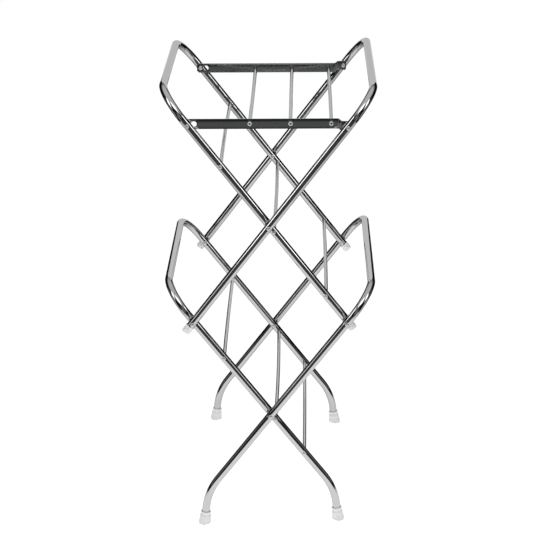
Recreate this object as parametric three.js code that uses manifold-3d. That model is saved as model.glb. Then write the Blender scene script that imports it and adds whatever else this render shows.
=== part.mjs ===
// A two-tier folding clothes drying rack, in millimetres, +Z up.
// Four bent tube frames cross in two pairs, one pair standing on the other. Each frame is one long
// tube: two legs, front and rear, joined by a bar that runs from front to rear at the top.
// The origin is on the floor under the middle of the rack, which stands open.
import * as THREE from 'three';
import { mergeVertices } from 'three/addons/utils/BufferGeometryUtils.js';
import Module from 'manifold-3d';

const wasm = await Module();
wasm.setup();

// ---------------------------------------------------------------- driving dimensions
const TUBE_RADIUS = 9.5;
const TUBE_WALL = 1.2;
const LEG_ANGLE = THREE.MathUtils.degToRad(37.5); // of each leg from the vertical, rack open
const PIVOT_SPACING = 300; // between neighbouring pivots, so that they make a rhombus
const LOWER_CROSSING_HEIGHT = 286;
const BAR_REACH = 398; // from a frame's crossing pivot to the axis of its bar
const BAR_BEND_RADIUS = 80;
const END_OVERHANG = 20; // an upper frame's tube past its end pivot
const OUTER_LAYER = 311; // the outer legs' axes, from the middle plane
const LAYER_GAP = 2.2; // between an inner and an outer leg, filled by a washer
const CLEARANCE = 0.3; // between pieces that touch

const FOOT_OFFSET = 164; // of each foot from the middle, across the rack
const FOOT_LEAN = THREE.MathUtils.degToRad(6.5);
const FOOT_BEND_RADIUS = 150;
const FOOT_HEIGHT = 32;
const FOOT_FLOOR = 7; // the rubber under the tube's end
const SOLE_RADIUS = 15.3;
const SOLE_HEIGHT = 4;
const FOOT_COLLAR_RADIUS = 13.4;
const FOOT_COLLAR = [13, 21]; // its lower and upper edge
const FOOT_SLEEVE_RADIUS = 12.2;
const FOOT_SIDES = 16; // of the rubber's and the end caps' turned walls

const CAP_SLEEVE = 12.5; // how far an end cap covers the tube
const CAP_END = 8; // its closed end
const CAP_RADIUS = 11;
const CAP_ROUNDING = 4;

const ROD_RADIUS = 4.5;
const TENON_RADIUS = 2.5; // the rod's thin ends, riveted through the legs
const UPPER_ROD_PLACES = [180, -20, -220]; // along the leg, up from the crossing pivot
const LOWER_ROD_PLACES = [180, -20, -134];

const RIVET_RADIUS = 3;
const HEAD_RADIUS = 5;
const HEAD_HEIGHT = 2;
const ROD_HEAD_RADIUS = 4.5;
const HOLE_PLAY = 0.42; // between a shank's corners and its hole's corners
const WASHER_RADIUS = 6.5;

const SHELF_REACH = 302; // from the upper crossing to the shelf's pivots and studs
const STRIP_WIDTH = 24;
const STRIP_THICKNESS = 2;
const STRIP_STANDOFF = 2.6; // from the inner legs, room for the screw heads to pass
const STRIP_OVERHANG = 9; // past the latch studs
const STRIP_CORNER = 5; // cut off its free end
const STRIP_TAIL = 7.5; // past the shelf's pivot
const STRIP_TAIL_ROUND = 4;
const STRIP_BEND_RADIUS = 5;
const JOGGLE_START = 21; // from the shelf's pivot, where the strip steps out to the outer leg
const JOGGLE_RUN = 6;
const SHELF_ROD_PLACES = [225.5, 131.9, 38.2]; // along the strip from its pivot
const KEYHOLE_TRAVEL = 14.2; // from the stud's seat to the keyhole's wide end
const KEYHOLE_RADIUS = 6.5;
const PUNCH_MARK_RADIUS = 1.4; // a dot pressed into each strip's outer face
const PUNCH_MARK_DEPTH = 1.2;
const PUNCH_MARK_PLACE = 164.5;
const SHELF_SCREW_RADIUS = 2;
const SHELF_SCREW_DEPTH = 12;
const SHELF_SCREW_HEAD = 1.9;
const STUD_COLLAR_RADIUS = 4.6;
const STUD_NECK_RADIUS = 2.5; // where the stud sits in the keyhole

const HOLE_SIDES = 12;
const TUBE_CURVE_SEGMENTS = 8; // of each half turn round the tube
const STRIP_CURVE_SEGMENTS = 6;

// ---------------------------------------------------------------- derived places
const INNER_LAYER = OUTER_LAYER - 2 * TUBE_RADIUS - LAYER_GAP;
const HALF_WIDTH = PIVOT_SPACING * Math.sin(LEG_ANGLE);
const HALF_RISE = PIVOT_SPACING * Math.cos(LEG_ANGLE);
const LOWER_CROSSING = new THREE.Vector2(0, LOWER_CROSSING_HEIGHT);
const UPPER_CROSSING = new THREE.Vector2(0, LOWER_CROSSING_HEIGHT + 2 * HALF_RISE);
const LEFT_JOINT = new THREE.Vector2(-HALF_WIDTH, LOWER_CROSSING_HEIGHT + HALF_RISE);
const RIGHT_JOINT = new THREE.Vector2(HALF_WIDTH, LOWER_CROSSING_HEIGHT + HALF_RISE);
const SIDES = [['front', -1], ['rear', 1]];
const STRIP_FACE = INNER_LAYER - TUBE_RADIUS - STRIP_STANDOFF; // the strips' outer face
const SHELF_END = OUTER_LAYER - TUBE_RADIUS - CLEARANCE; // the same face at the pivots

// A place on a leg in the X-Z plane. lean is -1 where the leg's top points to -X, else 1.
function alongLeg(pivot, lean, distance) {
  const x = pivot.x + lean * distance * Math.sin(LEG_ANGLE);
  return new THREE.Vector2(x, pivot.y + distance * Math.cos(LEG_ANGLE));
}

const SHELF_PIVOT = alongLeg(UPPER_CROSSING, 1, SHELF_REACH);
const LATCH_STUD = alongLeg(UPPER_CROSSING, -1, SHELF_REACH);

// ---------------------------------------------------------------- finishes
const chrome = new THREE.MeshStandardMaterial({ color: 0xcfd2d4, roughness: 0.08, metalness: 1 });
const polishedSteel = new THREE.MeshStandardMaterial({ color: 0xb9bcbf, roughness: 0.12, metalness: 1 });
const whiteRubber = new THREE.MeshStandardMaterial({ color: 0xf0f0ee, roughness: 0.55, metalness: 0 });
const clearPlastic = new THREE.MeshStandardMaterial({ color: 0xe9ebea, roughness: 0.3, metalness: 0 });

// ---------------------------------------------------------------- solids
function toSolid(geometry) {
  const bare = geometry.clone();
  bare.deleteAttribute('normal');
  bare.deleteAttribute('uv');
  const merged = mergeVertices(bare, 1e-3);
  const vertProperties = new Float32Array(merged.attributes.position.array);
  const triVerts = new Uint32Array(merged.index.array);
  return new wasm.Manifold(new wasm.Mesh({ numProp: 3, vertProperties, triVerts }));
}

function toGeometry(solid) {
  const mesh = solid.getMesh();
  const geometry = new THREE.BufferGeometry();
  geometry.setAttribute('position', new THREE.BufferAttribute(mesh.vertProperties, 3));
  geometry.setIndex(new THREE.BufferAttribute(mesh.triVerts, 1));
  geometry.computeVertexNormals();
  return geometry;
}

const rack = new THREE.Group();

// Adds one named piece. The material is cloned, so that each piece has its own.
function addPiece(name, geometry, material, position = new THREE.Vector3(), direction = null) {
  const mesh = new THREE.Mesh(geometry, material.clone());
  mesh.name = name;
  mesh.position.copy(position);
  if (direction) {
    mesh.quaternion.setFromUnitVectors(new THREE.Vector3(0, 1, 0), direction);
  }
  rack.add(mesh);
}

// A solid of revolution about Y. profile is [radius, height] points that start and end on the axis.
function turned(profile, segments = 12) {
  return new THREE.LatheGeometry(profile.map(([r, h]) => new THREE.Vector2(r, h)), segments);
}

// A path of straight stretches with round bends. It is read only at its stations, which are the
// ends of its straights and the steps of its bends.
class BentPath extends THREE.Curve {
  constructor(corners, radii, bendStep = Math.PI / 12) {
    super();
    this.points = [corners[0]];
    this.tangents = [corners[1].clone().sub(corners[0]).normalize()];
    for (let i = 1; i < corners.length - 1; i++) {
      this.addBend(corners[i - 1], corners[i], corners[i + 1], radii[i - 1], bendStep);
    }
    this.points.push(corners[corners.length - 1]);
    this.tangents.push(this.tangents[this.tangents.length - 1]);
  }

  addBend(before, corner, after, radius, bendStep) {
    const into = corner.clone().sub(before).normalize();
    const out = after.clone().sub(corner).normalize();
    const turn = into.angleTo(out);
    const inward = out.clone().addScaledVector(into, -into.dot(out)).normalize();
    const start = corner.clone().addScaledVector(into, -radius * Math.tan(turn / 2));
    const steps = Math.max(2, Math.round(turn / bendStep));
    for (let i = 0; i <= steps; i++) {
      const angle = (turn * i) / steps;
      const point = start.clone().addScaledVector(into, radius * Math.sin(angle));
      this.points.push(point.addScaledVector(inward, radius * (1 - Math.cos(angle))));
      const tangent = into.clone().multiplyScalar(Math.cos(angle));
      this.tangents.push(tangent.addScaledVector(inward, Math.sin(angle)));
    }
  }

  get steps() {
    return this.points.length - 1;
  }

  getPointAt(u) {
    return this.points[Math.round(u * this.steps)].clone();
  }

  getTangentAt(u) {
    return this.tangents[Math.round(u * this.steps)].clone();
  }
}

// A round tube along a path.
function tubeSolid(path) {
  const section = new THREE.Shape().absarc(0, 0, TUBE_RADIUS, 0, 2 * Math.PI);
  section.holes.push(new THREE.Path().absarc(0, 0, TUBE_RADIUS - TUBE_WALL, 0, 2 * Math.PI, true));
  const options = { steps: path.steps, extrudePath: path, curveSegments: TUBE_CURVE_SEGMENTS };
  return toSolid(new THREE.ExtrudeGeometry(section, options));
}

// A drill that runs along Y through the leg whose axis is at the given layer.
function drill(place, layer, radius) {
  const length = 2 * TUBE_RADIUS + LAYER_GAP;
  const cylinder = new THREE.CylinderGeometry(radius, radius, length, HOLE_SIDES);
  return toSolid(cylinder.translate(place.x, layer, place.y));
}

// ---------------------------------------------------------------- frames
// corners are the X-Z places of the front leg from its foot to its bar. holes are [place, radius].
function addFrame(name, corners, bendRadii, layer, holes) {
  const front = corners.map((place) => new THREE.Vector3(place.x, -layer, place.y));
  const rear = corners.map((place) => new THREE.Vector3(place.x, layer, place.y)).reverse();
  const radii = [...bendRadii, BAR_BEND_RADIUS, BAR_BEND_RADIUS, ...[...bendRadii].reverse()];
  let solid = tubeSolid(new BentPath([...front, ...rear], radii));
  for (const [place, radius] of holes) {
    for (const [, side] of SIDES) {
      solid = solid.subtract(drill(place, side * layer, radius + HOLE_PLAY));
    }
  }
  addPiece(name, toGeometry(solid), chrome);
}

function rodHoles(crossing, places) {
  return places.map((distance) => [alongLeg(crossing, -1, distance), TENON_RADIUS]);
}

function upperFrameCorners(lean) {
  const end = alongLeg(UPPER_CROSSING, lean, -PIVOT_SPACING - END_OVERHANG);
  return [end, alongLeg(UPPER_CROSSING, lean, BAR_REACH)];
}

// A lower leg's last stretch leans less than the leg, so it is a line from the foot up to where it
// meets the leg's line. The tube stops short of the floor by the rubber under it.
function lowerFrameCorners(lean) {
  const rise = LOWER_CROSSING_HEIGHT * Math.tan(LEG_ANGLE) - FOOT_OFFSET;
  const bendHeight = rise / (Math.tan(LEG_ANGLE) - Math.tan(FOOT_LEAN));
  const bend = new THREE.Vector2(-lean * (FOOT_OFFSET - bendHeight * Math.tan(FOOT_LEAN)), bendHeight);
  const up = footDirection(lean);
  const endHeight = FOOT_FLOOR + CLEARANCE;
  const end = new THREE.Vector2(-lean * FOOT_OFFSET + endHeight * up.x, endHeight * up.z);
  return [end, bend, alongLeg(LOWER_CROSSING, lean, BAR_REACH)];
}

function footDirection(lean) {
  return new THREE.Vector3(lean * Math.sin(FOOT_LEAN), 0, Math.cos(FOOT_LEAN));
}

addFrame('upper_inner_frame', upperFrameCorners(-1), [], INNER_LAYER, [
  [UPPER_CROSSING, RIVET_RADIUS],
  [RIGHT_JOINT, RIVET_RADIUS],
  [LATCH_STUD, RIVET_RADIUS],
  ...rodHoles(UPPER_CROSSING, UPPER_ROD_PLACES),
]);
addFrame('upper_outer_frame', upperFrameCorners(1), [], OUTER_LAYER, [
  [UPPER_CROSSING, RIVET_RADIUS],
  [LEFT_JOINT, RIVET_RADIUS],
  [SHELF_PIVOT, RIVET_RADIUS],
]);
addFrame('lower_inner_frame', lowerFrameCorners(-1), [FOOT_BEND_RADIUS], INNER_LAYER, [
  [LOWER_CROSSING, RIVET_RADIUS],
  [LEFT_JOINT, RIVET_RADIUS],
  ...rodHoles(LOWER_CROSSING, LOWER_ROD_PLACES),
]);
addFrame('lower_outer_frame', lowerFrameCorners(1), [FOOT_BEND_RADIUS], OUTER_LAYER, [
  [LOWER_CROSSING, RIVET_RADIUS],
  [RIGHT_JOINT, RIVET_RADIUS],
]);

// ---------------------------------------------------------------- rods of the frames
// A low round head on a base at some height, up or down from it, as a profile's last points.
function dome(radius, base, height, steps = 3) {
  return Array.from({ length: steps + 1 }, (_, i) => {
    const angle = (Math.PI / 2) * (i / steps);
    return [i < steps ? radius * Math.cos(angle) : 0, base + height * Math.sin(angle)];
  });
}

// Each is one bar whose thin ends go through both walls of the legs and are headed outside them.
function addFrameRod(name, place) {
  const shoulder = INNER_LAYER - TUBE_RADIUS - CLEARANCE;
  const head = INNER_LAYER + TUBE_RADIUS + CLEARANCE;
  const half = [
    [ROD_RADIUS, shoulder],
    [TENON_RADIUS, shoulder],
    [TENON_RADIUS, head],
    ...dome(ROD_HEAD_RADIUS, head, HEAD_HEIGHT),
  ];
  const mirrored = half.map(([r, h]) => [r, -h]).reverse();
  addPiece(name, turned([...mirrored, ...half]), polishedSteel, new THREE.Vector3(place.x, 0, place.y));
}

UPPER_ROD_PLACES.forEach((distance, i) => {
  addFrameRod(`upper_rod_${i + 1}`, alongLeg(UPPER_CROSSING, -1, distance));
});
LOWER_ROD_PLACES.forEach((distance, i) => {
  addFrameRod(`lower_rod_${i + 1}`, alongLeg(LOWER_CROSSING, -1, distance));
});

// ---------------------------------------------------------------- pivots
// A pin's profile, from its head at an inner face to its head at an outer face. The faces are
// distances from the middle plane. collar is the profile of a thicker stretch between them, and
// innerRadius is the pin's radius up to there.
function headedPin(innerFace, outerFace, collar = [], innerRadius = RIVET_RADIUS) {
  const low = innerFace - CLEARANCE;
  const high = outerFace + CLEARANCE;
  return [
    ...dome(HEAD_RADIUS, low, -HEAD_HEIGHT).reverse(),
    [innerRadius, low],
    ...collar,
    [RIVET_RADIUS, high],
    ...dome(HEAD_RADIUS, high, HEAD_HEIGHT),
  ];
}

// Adds a turned piece at both ends of the rack. Its profile is drawn for the rear one.
function addPair(name, profile, place, material) {
  const position = new THREE.Vector3(place.x, 0, place.y);
  for (const [label, side] of SIDES) {
    addPiece(`${name}_${label}`, turned(profile), material, position, new THREE.Vector3(0, side, 0));
  }
}

const WASHER_BORE = RIVET_RADIUS + HOLE_PLAY;
const WASHER_INSIDE = INNER_LAYER + TUBE_RADIUS + CLEARANCE;
const WASHER_OUTSIDE = OUTER_LAYER - TUBE_RADIUS - CLEARANCE;
const washer = [
  [WASHER_BORE, WASHER_INSIDE],
  [WASHER_RADIUS, WASHER_INSIDE],
  [WASHER_RADIUS, WASHER_OUTSIDE],
  [WASHER_BORE, WASHER_OUTSIDE],
  [WASHER_BORE, WASHER_INSIDE],
];
const rivet = headedPin(INNER_LAYER - TUBE_RADIUS, OUTER_LAYER + TUBE_RADIUS);

for (const [name, place] of [
  ['upper_crossing', UPPER_CROSSING],
  ['lower_crossing', LOWER_CROSSING],
  ['left_joint', LEFT_JOINT],
  ['right_joint', RIGHT_JOINT],
]) {
  addPair(`${name}_rivet`, rivet, place, polishedSteel);
  addPair(`${name}_washer`, washer, place, clearPlastic);
}

// ---------------------------------------------------------------- end caps and feet
// A cap slides over the tube's end, and its closed end is rounded. Its profile starts at its mouth.
function addEndCaps(name, lean, layer) {
  const bore = TUBE_RADIUS + CLEARANCE;
  const roundingStart = CAP_SLEEVE + CLEARANCE + CAP_END - CAP_ROUNDING;
  const flat = CAP_RADIUS - CAP_ROUNDING;
  const profile = [
    [0, CAP_SLEEVE + CLEARANCE],
    [bore, CAP_SLEEVE + CLEARANCE],
    [bore, 0],
    [CAP_RADIUS, 0],
    ...dome(CAP_ROUNDING, roundingStart, CAP_ROUNDING).map(([r, h]) => [flat + r, h]),
    [0, roundingStart + CAP_ROUNDING],
  ];
  const mouth = alongLeg(UPPER_CROSSING, lean, CAP_SLEEVE - PIVOT_SPACING - END_OVERHANG);
  const direction = new THREE.Vector3(-lean * Math.sin(LEG_ANGLE), 0, -Math.cos(LEG_ANGLE));
  for (const [label, side] of SIDES) {
    const position = new THREE.Vector3(mouth.x, side * layer, mouth.y);
    addPiece(`${name}_${label}`, turned(profile, FOOT_SIDES), clearPlastic, position, direction);
  }
}

addEndCaps('upper_inner_end_cap', -1, INNER_LAYER);
addEndCaps('upper_outer_end_cap', 1, OUTER_LAYER);

// A rubber ferrule whose axis leans with the leg's end. Its sole is trimmed level with the floor.
function addFeet(name, lean, layer) {
  const bore = TUBE_RADIUS + CLEARANCE;
  const [collarLow, collarHigh] = FOOT_COLLAR;
  const profile = [
    [0, -SOLE_HEIGHT],
    [SOLE_RADIUS, -SOLE_HEIGHT],
    [SOLE_RADIUS, SOLE_HEIGHT],
    [FOOT_COLLAR_RADIUS, collarLow],
    [FOOT_COLLAR_RADIUS, collarHigh],
    [FOOT_SLEEVE_RADIUS, collarHigh + 1],
    [FOOT_SLEEVE_RADIUS, FOOT_HEIGHT],
    [bore, FOOT_HEIGHT],
    [bore, FOOT_FLOOR],
    [0, FOOT_FLOOR],
  ];
  const turn = new THREE.Quaternion().setFromUnitVectors(new THREE.Vector3(0, 1, 0), footDirection(lean));
  const reach = 4 * SOLE_RADIUS;
  const floor = new THREE.BoxGeometry(reach, reach, reach).translate(0, 0, -reach / 2);
  const ferrule = toSolid(turned(profile, FOOT_SIDES).applyQuaternion(turn)).subtract(toSolid(floor));
  for (const [label, side] of SIDES) {
    const position = new THREE.Vector3(-lean * FOOT_OFFSET, side * layer, 0);
    addPiece(`${name}_${label}`, toGeometry(ferrule), whiteRubber, position);
  }
}

addFeet('inner_foot', -1, INNER_LAYER);
addFeet('outer_foot', 1, OUTER_LAYER);

// ---------------------------------------------------------------- the top shelf
const SEAT = SHELF_PIVOT.x - LATCH_STUD.x; // from the shelf's pivot to its stud's seat
const FREE_END = SEAT + STRIP_OVERHANG;

// A strip's outline seen from the front, with its pivot at the origin and its free end to the left.
function stripOutline() {
  const half = STRIP_WIDTH / 2;
  const outline = new THREE.Shape();
  const roundPlace = STRIP_TAIL - STRIP_TAIL_ROUND;
  outline.absarc(roundPlace, STRIP_TAIL_ROUND - half, STRIP_TAIL_ROUND, -Math.PI / 2, 0);
  outline.absarc(roundPlace, half - STRIP_TAIL_ROUND, STRIP_TAIL_ROUND, 0, Math.PI / 2);
  outline.lineTo(STRIP_CORNER - FREE_END, half);
  outline.lineTo(-FREE_END, half - STRIP_CORNER);
  outline.lineTo(-FREE_END, STRIP_CORNER - half);
  outline.lineTo(STRIP_CORNER - FREE_END, -half);
  outline.holes.push(keyhole(), roundHole(0, RIVET_RADIUS + HOLE_PLAY));
  for (const place of SHELF_ROD_PLACES) {
    outline.holes.push(roundHole(place, SHELF_SCREW_RADIUS + HOLE_PLAY));
  }
  return outline;
}

function roundHole(place, radius) {
  return new THREE.Path().absarc(-place, 0, radius, 0, 2 * Math.PI, true);
}

// Its narrow end holds the stud's neck, and its wide end lets the stud's head through.
function keyhole() {
  const neck = STUD_NECK_RADIUS + HOLE_PLAY;
  const mouth = Math.asin(neck / KEYHOLE_RADIUS);
  const hole = new THREE.Path();
  hole.absarc(-SEAT, 0, neck, -Math.PI / 2, Math.PI / 2, true);
  hole.absarc(KEYHOLE_TRAVEL - SEAT, 0, KEYHOLE_RADIUS, Math.PI - mouth, mouth - Math.PI, true);
  return hole;
}

// The strip seen from above: flat, with a step out to the outer leg near its pivot.
function stripPlan(side) {
  const main = side * (STRIP_FACE - STRIP_THICKNESS / 2);
  const end = side * (SHELF_END - STRIP_THICKNESS / 2);
  const corners = [
    new THREE.Vector3(STRIP_WIDTH, end, 0),
    new THREE.Vector3(JOGGLE_RUN - JOGGLE_START, end, 0),
    new THREE.Vector3(-JOGGLE_START, main, 0),
    new THREE.Vector3(-FREE_END - STRIP_WIDTH, main, 0),
  ];
  const path = new BentPath(corners, [STRIP_BEND_RADIUS, STRIP_BEND_RADIUS]);
  const edge = (offset) => path.points.map((point, i) => {
    const tangent = path.tangents[i];
    return new THREE.Vector2(point.x - offset * tangent.y, point.y + offset * tangent.x);
  });
  return new THREE.Shape([...edge(-STRIP_THICKNESS / 2), ...edge(STRIP_THICKNESS / 2).reverse()]);
}

// A cone whose wide end lies outside the strip's outer face, at twice the mark's size and depth.
function punchMark(side) {
  const cone = new THREE.CylinderGeometry(2 * PUNCH_MARK_RADIUS, 0, 2 * PUNCH_MARK_DEPTH, HOLE_SIDES);
  cone.translate(-PUNCH_MARK_PLACE, STRIP_FACE, 0);
  return side < 0 ? cone.rotateX(Math.PI) : cone;
}

// A strip is what its outline, pushed through in depth, shares with its plan, pushed up.
function addStrip(label, side) {
  const through = { depth: 2 * OUTER_LAYER, bevelEnabled: false, curveSegments: STRIP_CURVE_SEGMENTS };
  const outline = new THREE.ExtrudeGeometry(stripOutline(), through);
  outline.rotateX(Math.PI / 2).translate(0, OUTER_LAYER, 0);
  const plan = new THREE.ExtrudeGeometry(stripPlan(side), { depth: 2 * STRIP_WIDTH, bevelEnabled: false });
  plan.translate(0, 0, -STRIP_WIDTH);
  const blank = toSolid(outline).intersect(toSolid(plan));
  const solid = blank.subtract(toSolid(punchMark(side)));
  const position = new THREE.Vector3(SHELF_PIVOT.x, 0, SHELF_PIVOT.y);
  addPiece(`shelf_strip_${label}`, toGeometry(solid), polishedSteel, position);
}

for (const [label, side] of SIDES) {
  addStrip(label, side);
}

// The rods are drilled at both ends for the screws that hold them between the strips.
const ROD_END = STRIP_FACE - STRIP_THICKNESS - CLEARANCE;
const SCREW_BORE = SHELF_SCREW_RADIUS + HOLE_PLAY;
const shelfRod = [
  [0, SHELF_SCREW_DEPTH - ROD_END],
  [SCREW_BORE, SHELF_SCREW_DEPTH - ROD_END],
  [SCREW_BORE, -ROD_END],
  [ROD_RADIUS, -ROD_END],
  [ROD_RADIUS, ROD_END],
  [SCREW_BORE, ROD_END],
  [SCREW_BORE, ROD_END - SHELF_SCREW_DEPTH],
  [0, ROD_END - SHELF_SCREW_DEPTH],
];
const SCREW_TIP = ROD_END - SHELF_SCREW_DEPTH + 2 * CLEARANCE;
const shelfScrew = [
  [0, SCREW_TIP],
  [SHELF_SCREW_RADIUS, SCREW_TIP],
  [SHELF_SCREW_RADIUS, STRIP_FACE + CLEARANCE],
  ...dome(HEAD_RADIUS, STRIP_FACE + CLEARANCE, SHELF_SCREW_HEAD),
];

SHELF_ROD_PLACES.forEach((distance, i) => {
  const place = new THREE.Vector2(SHELF_PIVOT.x - distance, SHELF_PIVOT.y);
  const position = new THREE.Vector3(place.x, 0, place.y);
  addPiece(`shelf_rod_${i + 1}`, turned(shelfRod), polishedSteel, position);
  addPair(`shelf_rod_${i + 1}_screw`, shelfScrew, place, polishedSteel);
});

const shelfPivotPin = headedPin(SHELF_END - STRIP_THICKNESS, OUTER_LAYER + TUBE_RADIUS);
addPair('shelf_pivot_pin', shelfPivotPin, SHELF_PIVOT, polishedSteel);

// A latch stud's collar keeps the strip off the leg, and its neck sits in the strip's keyhole.
const studCollar = [
  [STUD_NECK_RADIUS, STRIP_FACE + CLEARANCE],
  [STUD_COLLAR_RADIUS, STRIP_FACE + CLEARANCE],
  [STUD_COLLAR_RADIUS, INNER_LAYER - TUBE_RADIUS - CLEARANCE],
  [RIVET_RADIUS, INNER_LAYER - TUBE_RADIUS - CLEARANCE],
];
const stripBack = STRIP_FACE - STRIP_THICKNESS;
const latchStud = headedPin(stripBack, INNER_LAYER + TUBE_RADIUS, studCollar, STUD_NECK_RADIUS);
addPair('latch_stud', latchStud, LATCH_STUD, polishedSteel);

export default rack;
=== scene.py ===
"""A two-tier folding clothes drying rack in chromed steel tube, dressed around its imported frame.

Four bent tube frames cross in two pairs, the upper pair standing on the lower one. Round rods join
the legs of two of the frames, and a top shelf of two flat strips and three rods holds them open.
Every piece is made in the row frame, in metres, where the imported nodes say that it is.
"""

import logging
import math
from dataclasses import dataclass, field
from enum import Enum
from itertools import accumulate
from typing import Callable, Iterable, Optional, Sequence

import bmesh
import bpy
from mathutils import Matrix, Vector
from mathutils.geometry import delaunay_2d_cdt


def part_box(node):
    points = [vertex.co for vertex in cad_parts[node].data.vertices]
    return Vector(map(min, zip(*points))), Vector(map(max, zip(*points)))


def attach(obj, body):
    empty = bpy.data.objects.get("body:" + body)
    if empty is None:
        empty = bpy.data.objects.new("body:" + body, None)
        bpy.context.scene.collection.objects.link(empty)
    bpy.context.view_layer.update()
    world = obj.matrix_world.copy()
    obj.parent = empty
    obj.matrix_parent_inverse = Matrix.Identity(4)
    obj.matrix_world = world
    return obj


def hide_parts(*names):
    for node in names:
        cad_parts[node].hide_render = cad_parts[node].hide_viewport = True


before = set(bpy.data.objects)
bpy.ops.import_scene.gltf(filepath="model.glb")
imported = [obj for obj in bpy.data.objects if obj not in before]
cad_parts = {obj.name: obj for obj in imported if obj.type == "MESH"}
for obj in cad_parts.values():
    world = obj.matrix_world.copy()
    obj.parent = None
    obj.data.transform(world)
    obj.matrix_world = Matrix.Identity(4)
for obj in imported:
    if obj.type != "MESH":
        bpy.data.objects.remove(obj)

log = logging.getLogger("drying_rack")

MM = 0.001
SHARP_ANGLE = math.radians(38)
MERGE_DISTANCE = 1e-7  # points nearer than this are one point
SLIGHT_TURN = 1e-4
FULL_TURN = 2 * math.pi
QUARTER_TURN = math.pi / 2
TUBE_RADIUS = 9.5 * MM
LEG_ANGLE = math.radians(37.5)
FOOT_LEAN = math.radians(6.5)
FOOT_OFFSET = 164 * MM
CLEARANCE = 0.3 * MM
HEAD_RADIUS = 5 * MM
HEAD_HEIGHT = 2 * MM
RIVET_SHANK = 3 * MM

Corner = tuple[float, float]  # a radius and a height
Profile = list[Corner]


# ---------------------------------------------------------------- choices
class Side(Enum):
    """The end of the rack that a leg, strip or fastener is at."""

    FRONT = -1
    REAR = 1

    @property
    def label(self) -> str:
        """The word that names this end in a node's name."""
        return self.name.lower()


class Lean(Enum):
    """The way that a leg's top points."""

    LEFT = -1
    RIGHT = 1


class Tier(Enum):
    """Which pair of frames a frame belongs to."""

    LOWER = "lower"
    UPPER = "upper"


class Glare(Enum):
    """Which rays see a studio card."""

    MIRRORED = "mirrored"
    PLAIN = "plain"


# ---------------------------------------------------------------- nodes
def add_node(
    tree: bpy.types.NodeTree, kind: str, inputs: Optional[dict] = None, **settings: object
) -> bpy.types.Node:
    """Adds one node with its settings, its constants and its links.

    Args:
        tree: The node tree.
        kind: The node's type name.
        inputs: For each input, by name or index, a socket to link from or a constant.
        **settings: The node's own properties.

    Returns:
        The new node.
    """
    node = tree.nodes.new(kind)
    for key, value in settings.items():
        setattr(node, key, value)
    for key, value in (inputs or {}).items():
        if isinstance(value, bpy.types.NodeSocket):
            tree.links.new(value, node.inputs[key])
        else:
            node.inputs[key].default_value = value
    return node


def linear(hex_colour: str) -> tuple[float, float, float, float]:
    """Turns an sRGB hex colour to linear light.

    Args:
        hex_colour: Six hex digits.

    Returns:
        Red, green, blue and a full alpha.
    """
    parts = [int(hex_colour[i : i + 2], 16) / 255 for i in (0, 2, 4)]
    light = [c / 12.92 if c <= 0.04045 else ((c + 0.055) / 1.055) ** 2.4 for c in parts]
    return (*light, 1.0)


def scale_of(size_mm: float) -> float:
    """The texture scale that makes a pattern's features this many millimetres across."""
    return 1 / (size_mm * MM)


# ---------------------------------------------------------------- mesh helpers
def mesh_object(
    name: str,
    points: Sequence[Sequence[float]],
    edges: Sequence[tuple[int, int]] = (),
    faces: Sequence[Sequence[int]] = (),
) -> bpy.types.Object:
    """Makes a mesh and its object, and links the object to the scene.

    Args:
        name: The object's name.
        points: The vertices.
        edges: The loose edges.
        faces: The faces.

    Returns:
        The object.
    """
    mesh = bpy.data.meshes.new(name)
    mesh.from_pydata([tuple(p) for p in points], edges, faces)
    thing = bpy.data.objects.new(name, mesh)
    bpy.context.scene.collection.objects.link(thing)
    return thing


def mark_hollows(mesh: bpy.types.Mesh, in_hollow: Callable[[Vector], bool]) -> None:
    """Marks the vertices that lie deep in a hollow, where the material paints shade.

    Args:
        mesh: The mesh.
        in_hollow: Tells whether a place is in a hollow.
    """
    hollow = mesh.attributes.new("hollow", "FLOAT", "POINT")
    hollow.data.foreach_set("value", [float(in_hollow(v.co)) for v in mesh.vertices])


def face_outwards(mesh: bpy.types.Mesh) -> None:
    """Merges doubled vertices and turns a closed mesh's faces outwards.

    Args:
        mesh: The mesh, which is changed in place.
    """
    shell = bmesh.new()
    shell.from_mesh(mesh)
    bmesh.ops.remove_doubles(shell, verts=shell.verts, dist=MERGE_DISTANCE)
    bmesh.ops.recalc_face_normals(shell, faces=shell.faces)
    shell.to_mesh(mesh)
    shell.free()


def plain_piece(
    source: bpy.types.Object, name: str, finish: Optional[bpy.types.Material] = None
) -> bpy.types.Object:
    """Turns an object with its modifiers into a plain mesh piece, and deletes the object.

    Args:
        source: The object with live modifiers.
        name: The new piece's name.
        finish: Its one material.

    Returns:
        The piece, smooth shaded with its sharp edges kept.
    """
    depsgraph = bpy.context.evaluated_depsgraph_get()
    evaluated = source.evaluated_get(depsgraph)
    mesh = bpy.data.meshes.new_from_object(
        evaluated, preserve_all_data_layers=True, depsgraph=depsgraph
    )
    source.modifiers.clear()
    old = source.data
    bpy.data.objects.remove(source)
    bpy.data.meshes.remove(old)
    mesh.name = name
    mesh.materials.clear()
    if finish:
        mesh.materials.append(finish)
    for spent in ("pressed", "bow", "aim", "material_index"):
        if spent in mesh.attributes:
            mesh.attributes.remove(mesh.attributes[spent])
    mesh.shade_smooth()
    mesh.set_sharp_from_angle(angle=SHARP_ANGLE)
    piece = bpy.data.objects.new(name, mesh)
    bpy.context.scene.collection.objects.link(piece)
    return piece


def hand_over(
    piece: bpy.types.Object, body: str, nodes: Sequence[str]
) -> bpy.types.Object:
    """Says what a finished piece moves with and stands for.

    Args:
        piece: The finished piece.
        body: The body that it rides on.
        nodes: The CAD nodes that it stands for.

    Returns:
        The same piece.
    """
    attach(piece, body)
    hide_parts(*nodes)
    log.info("%s rides on %s: %d faces", piece.name, body, len(piece.data.polygons))
    return piece


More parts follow.
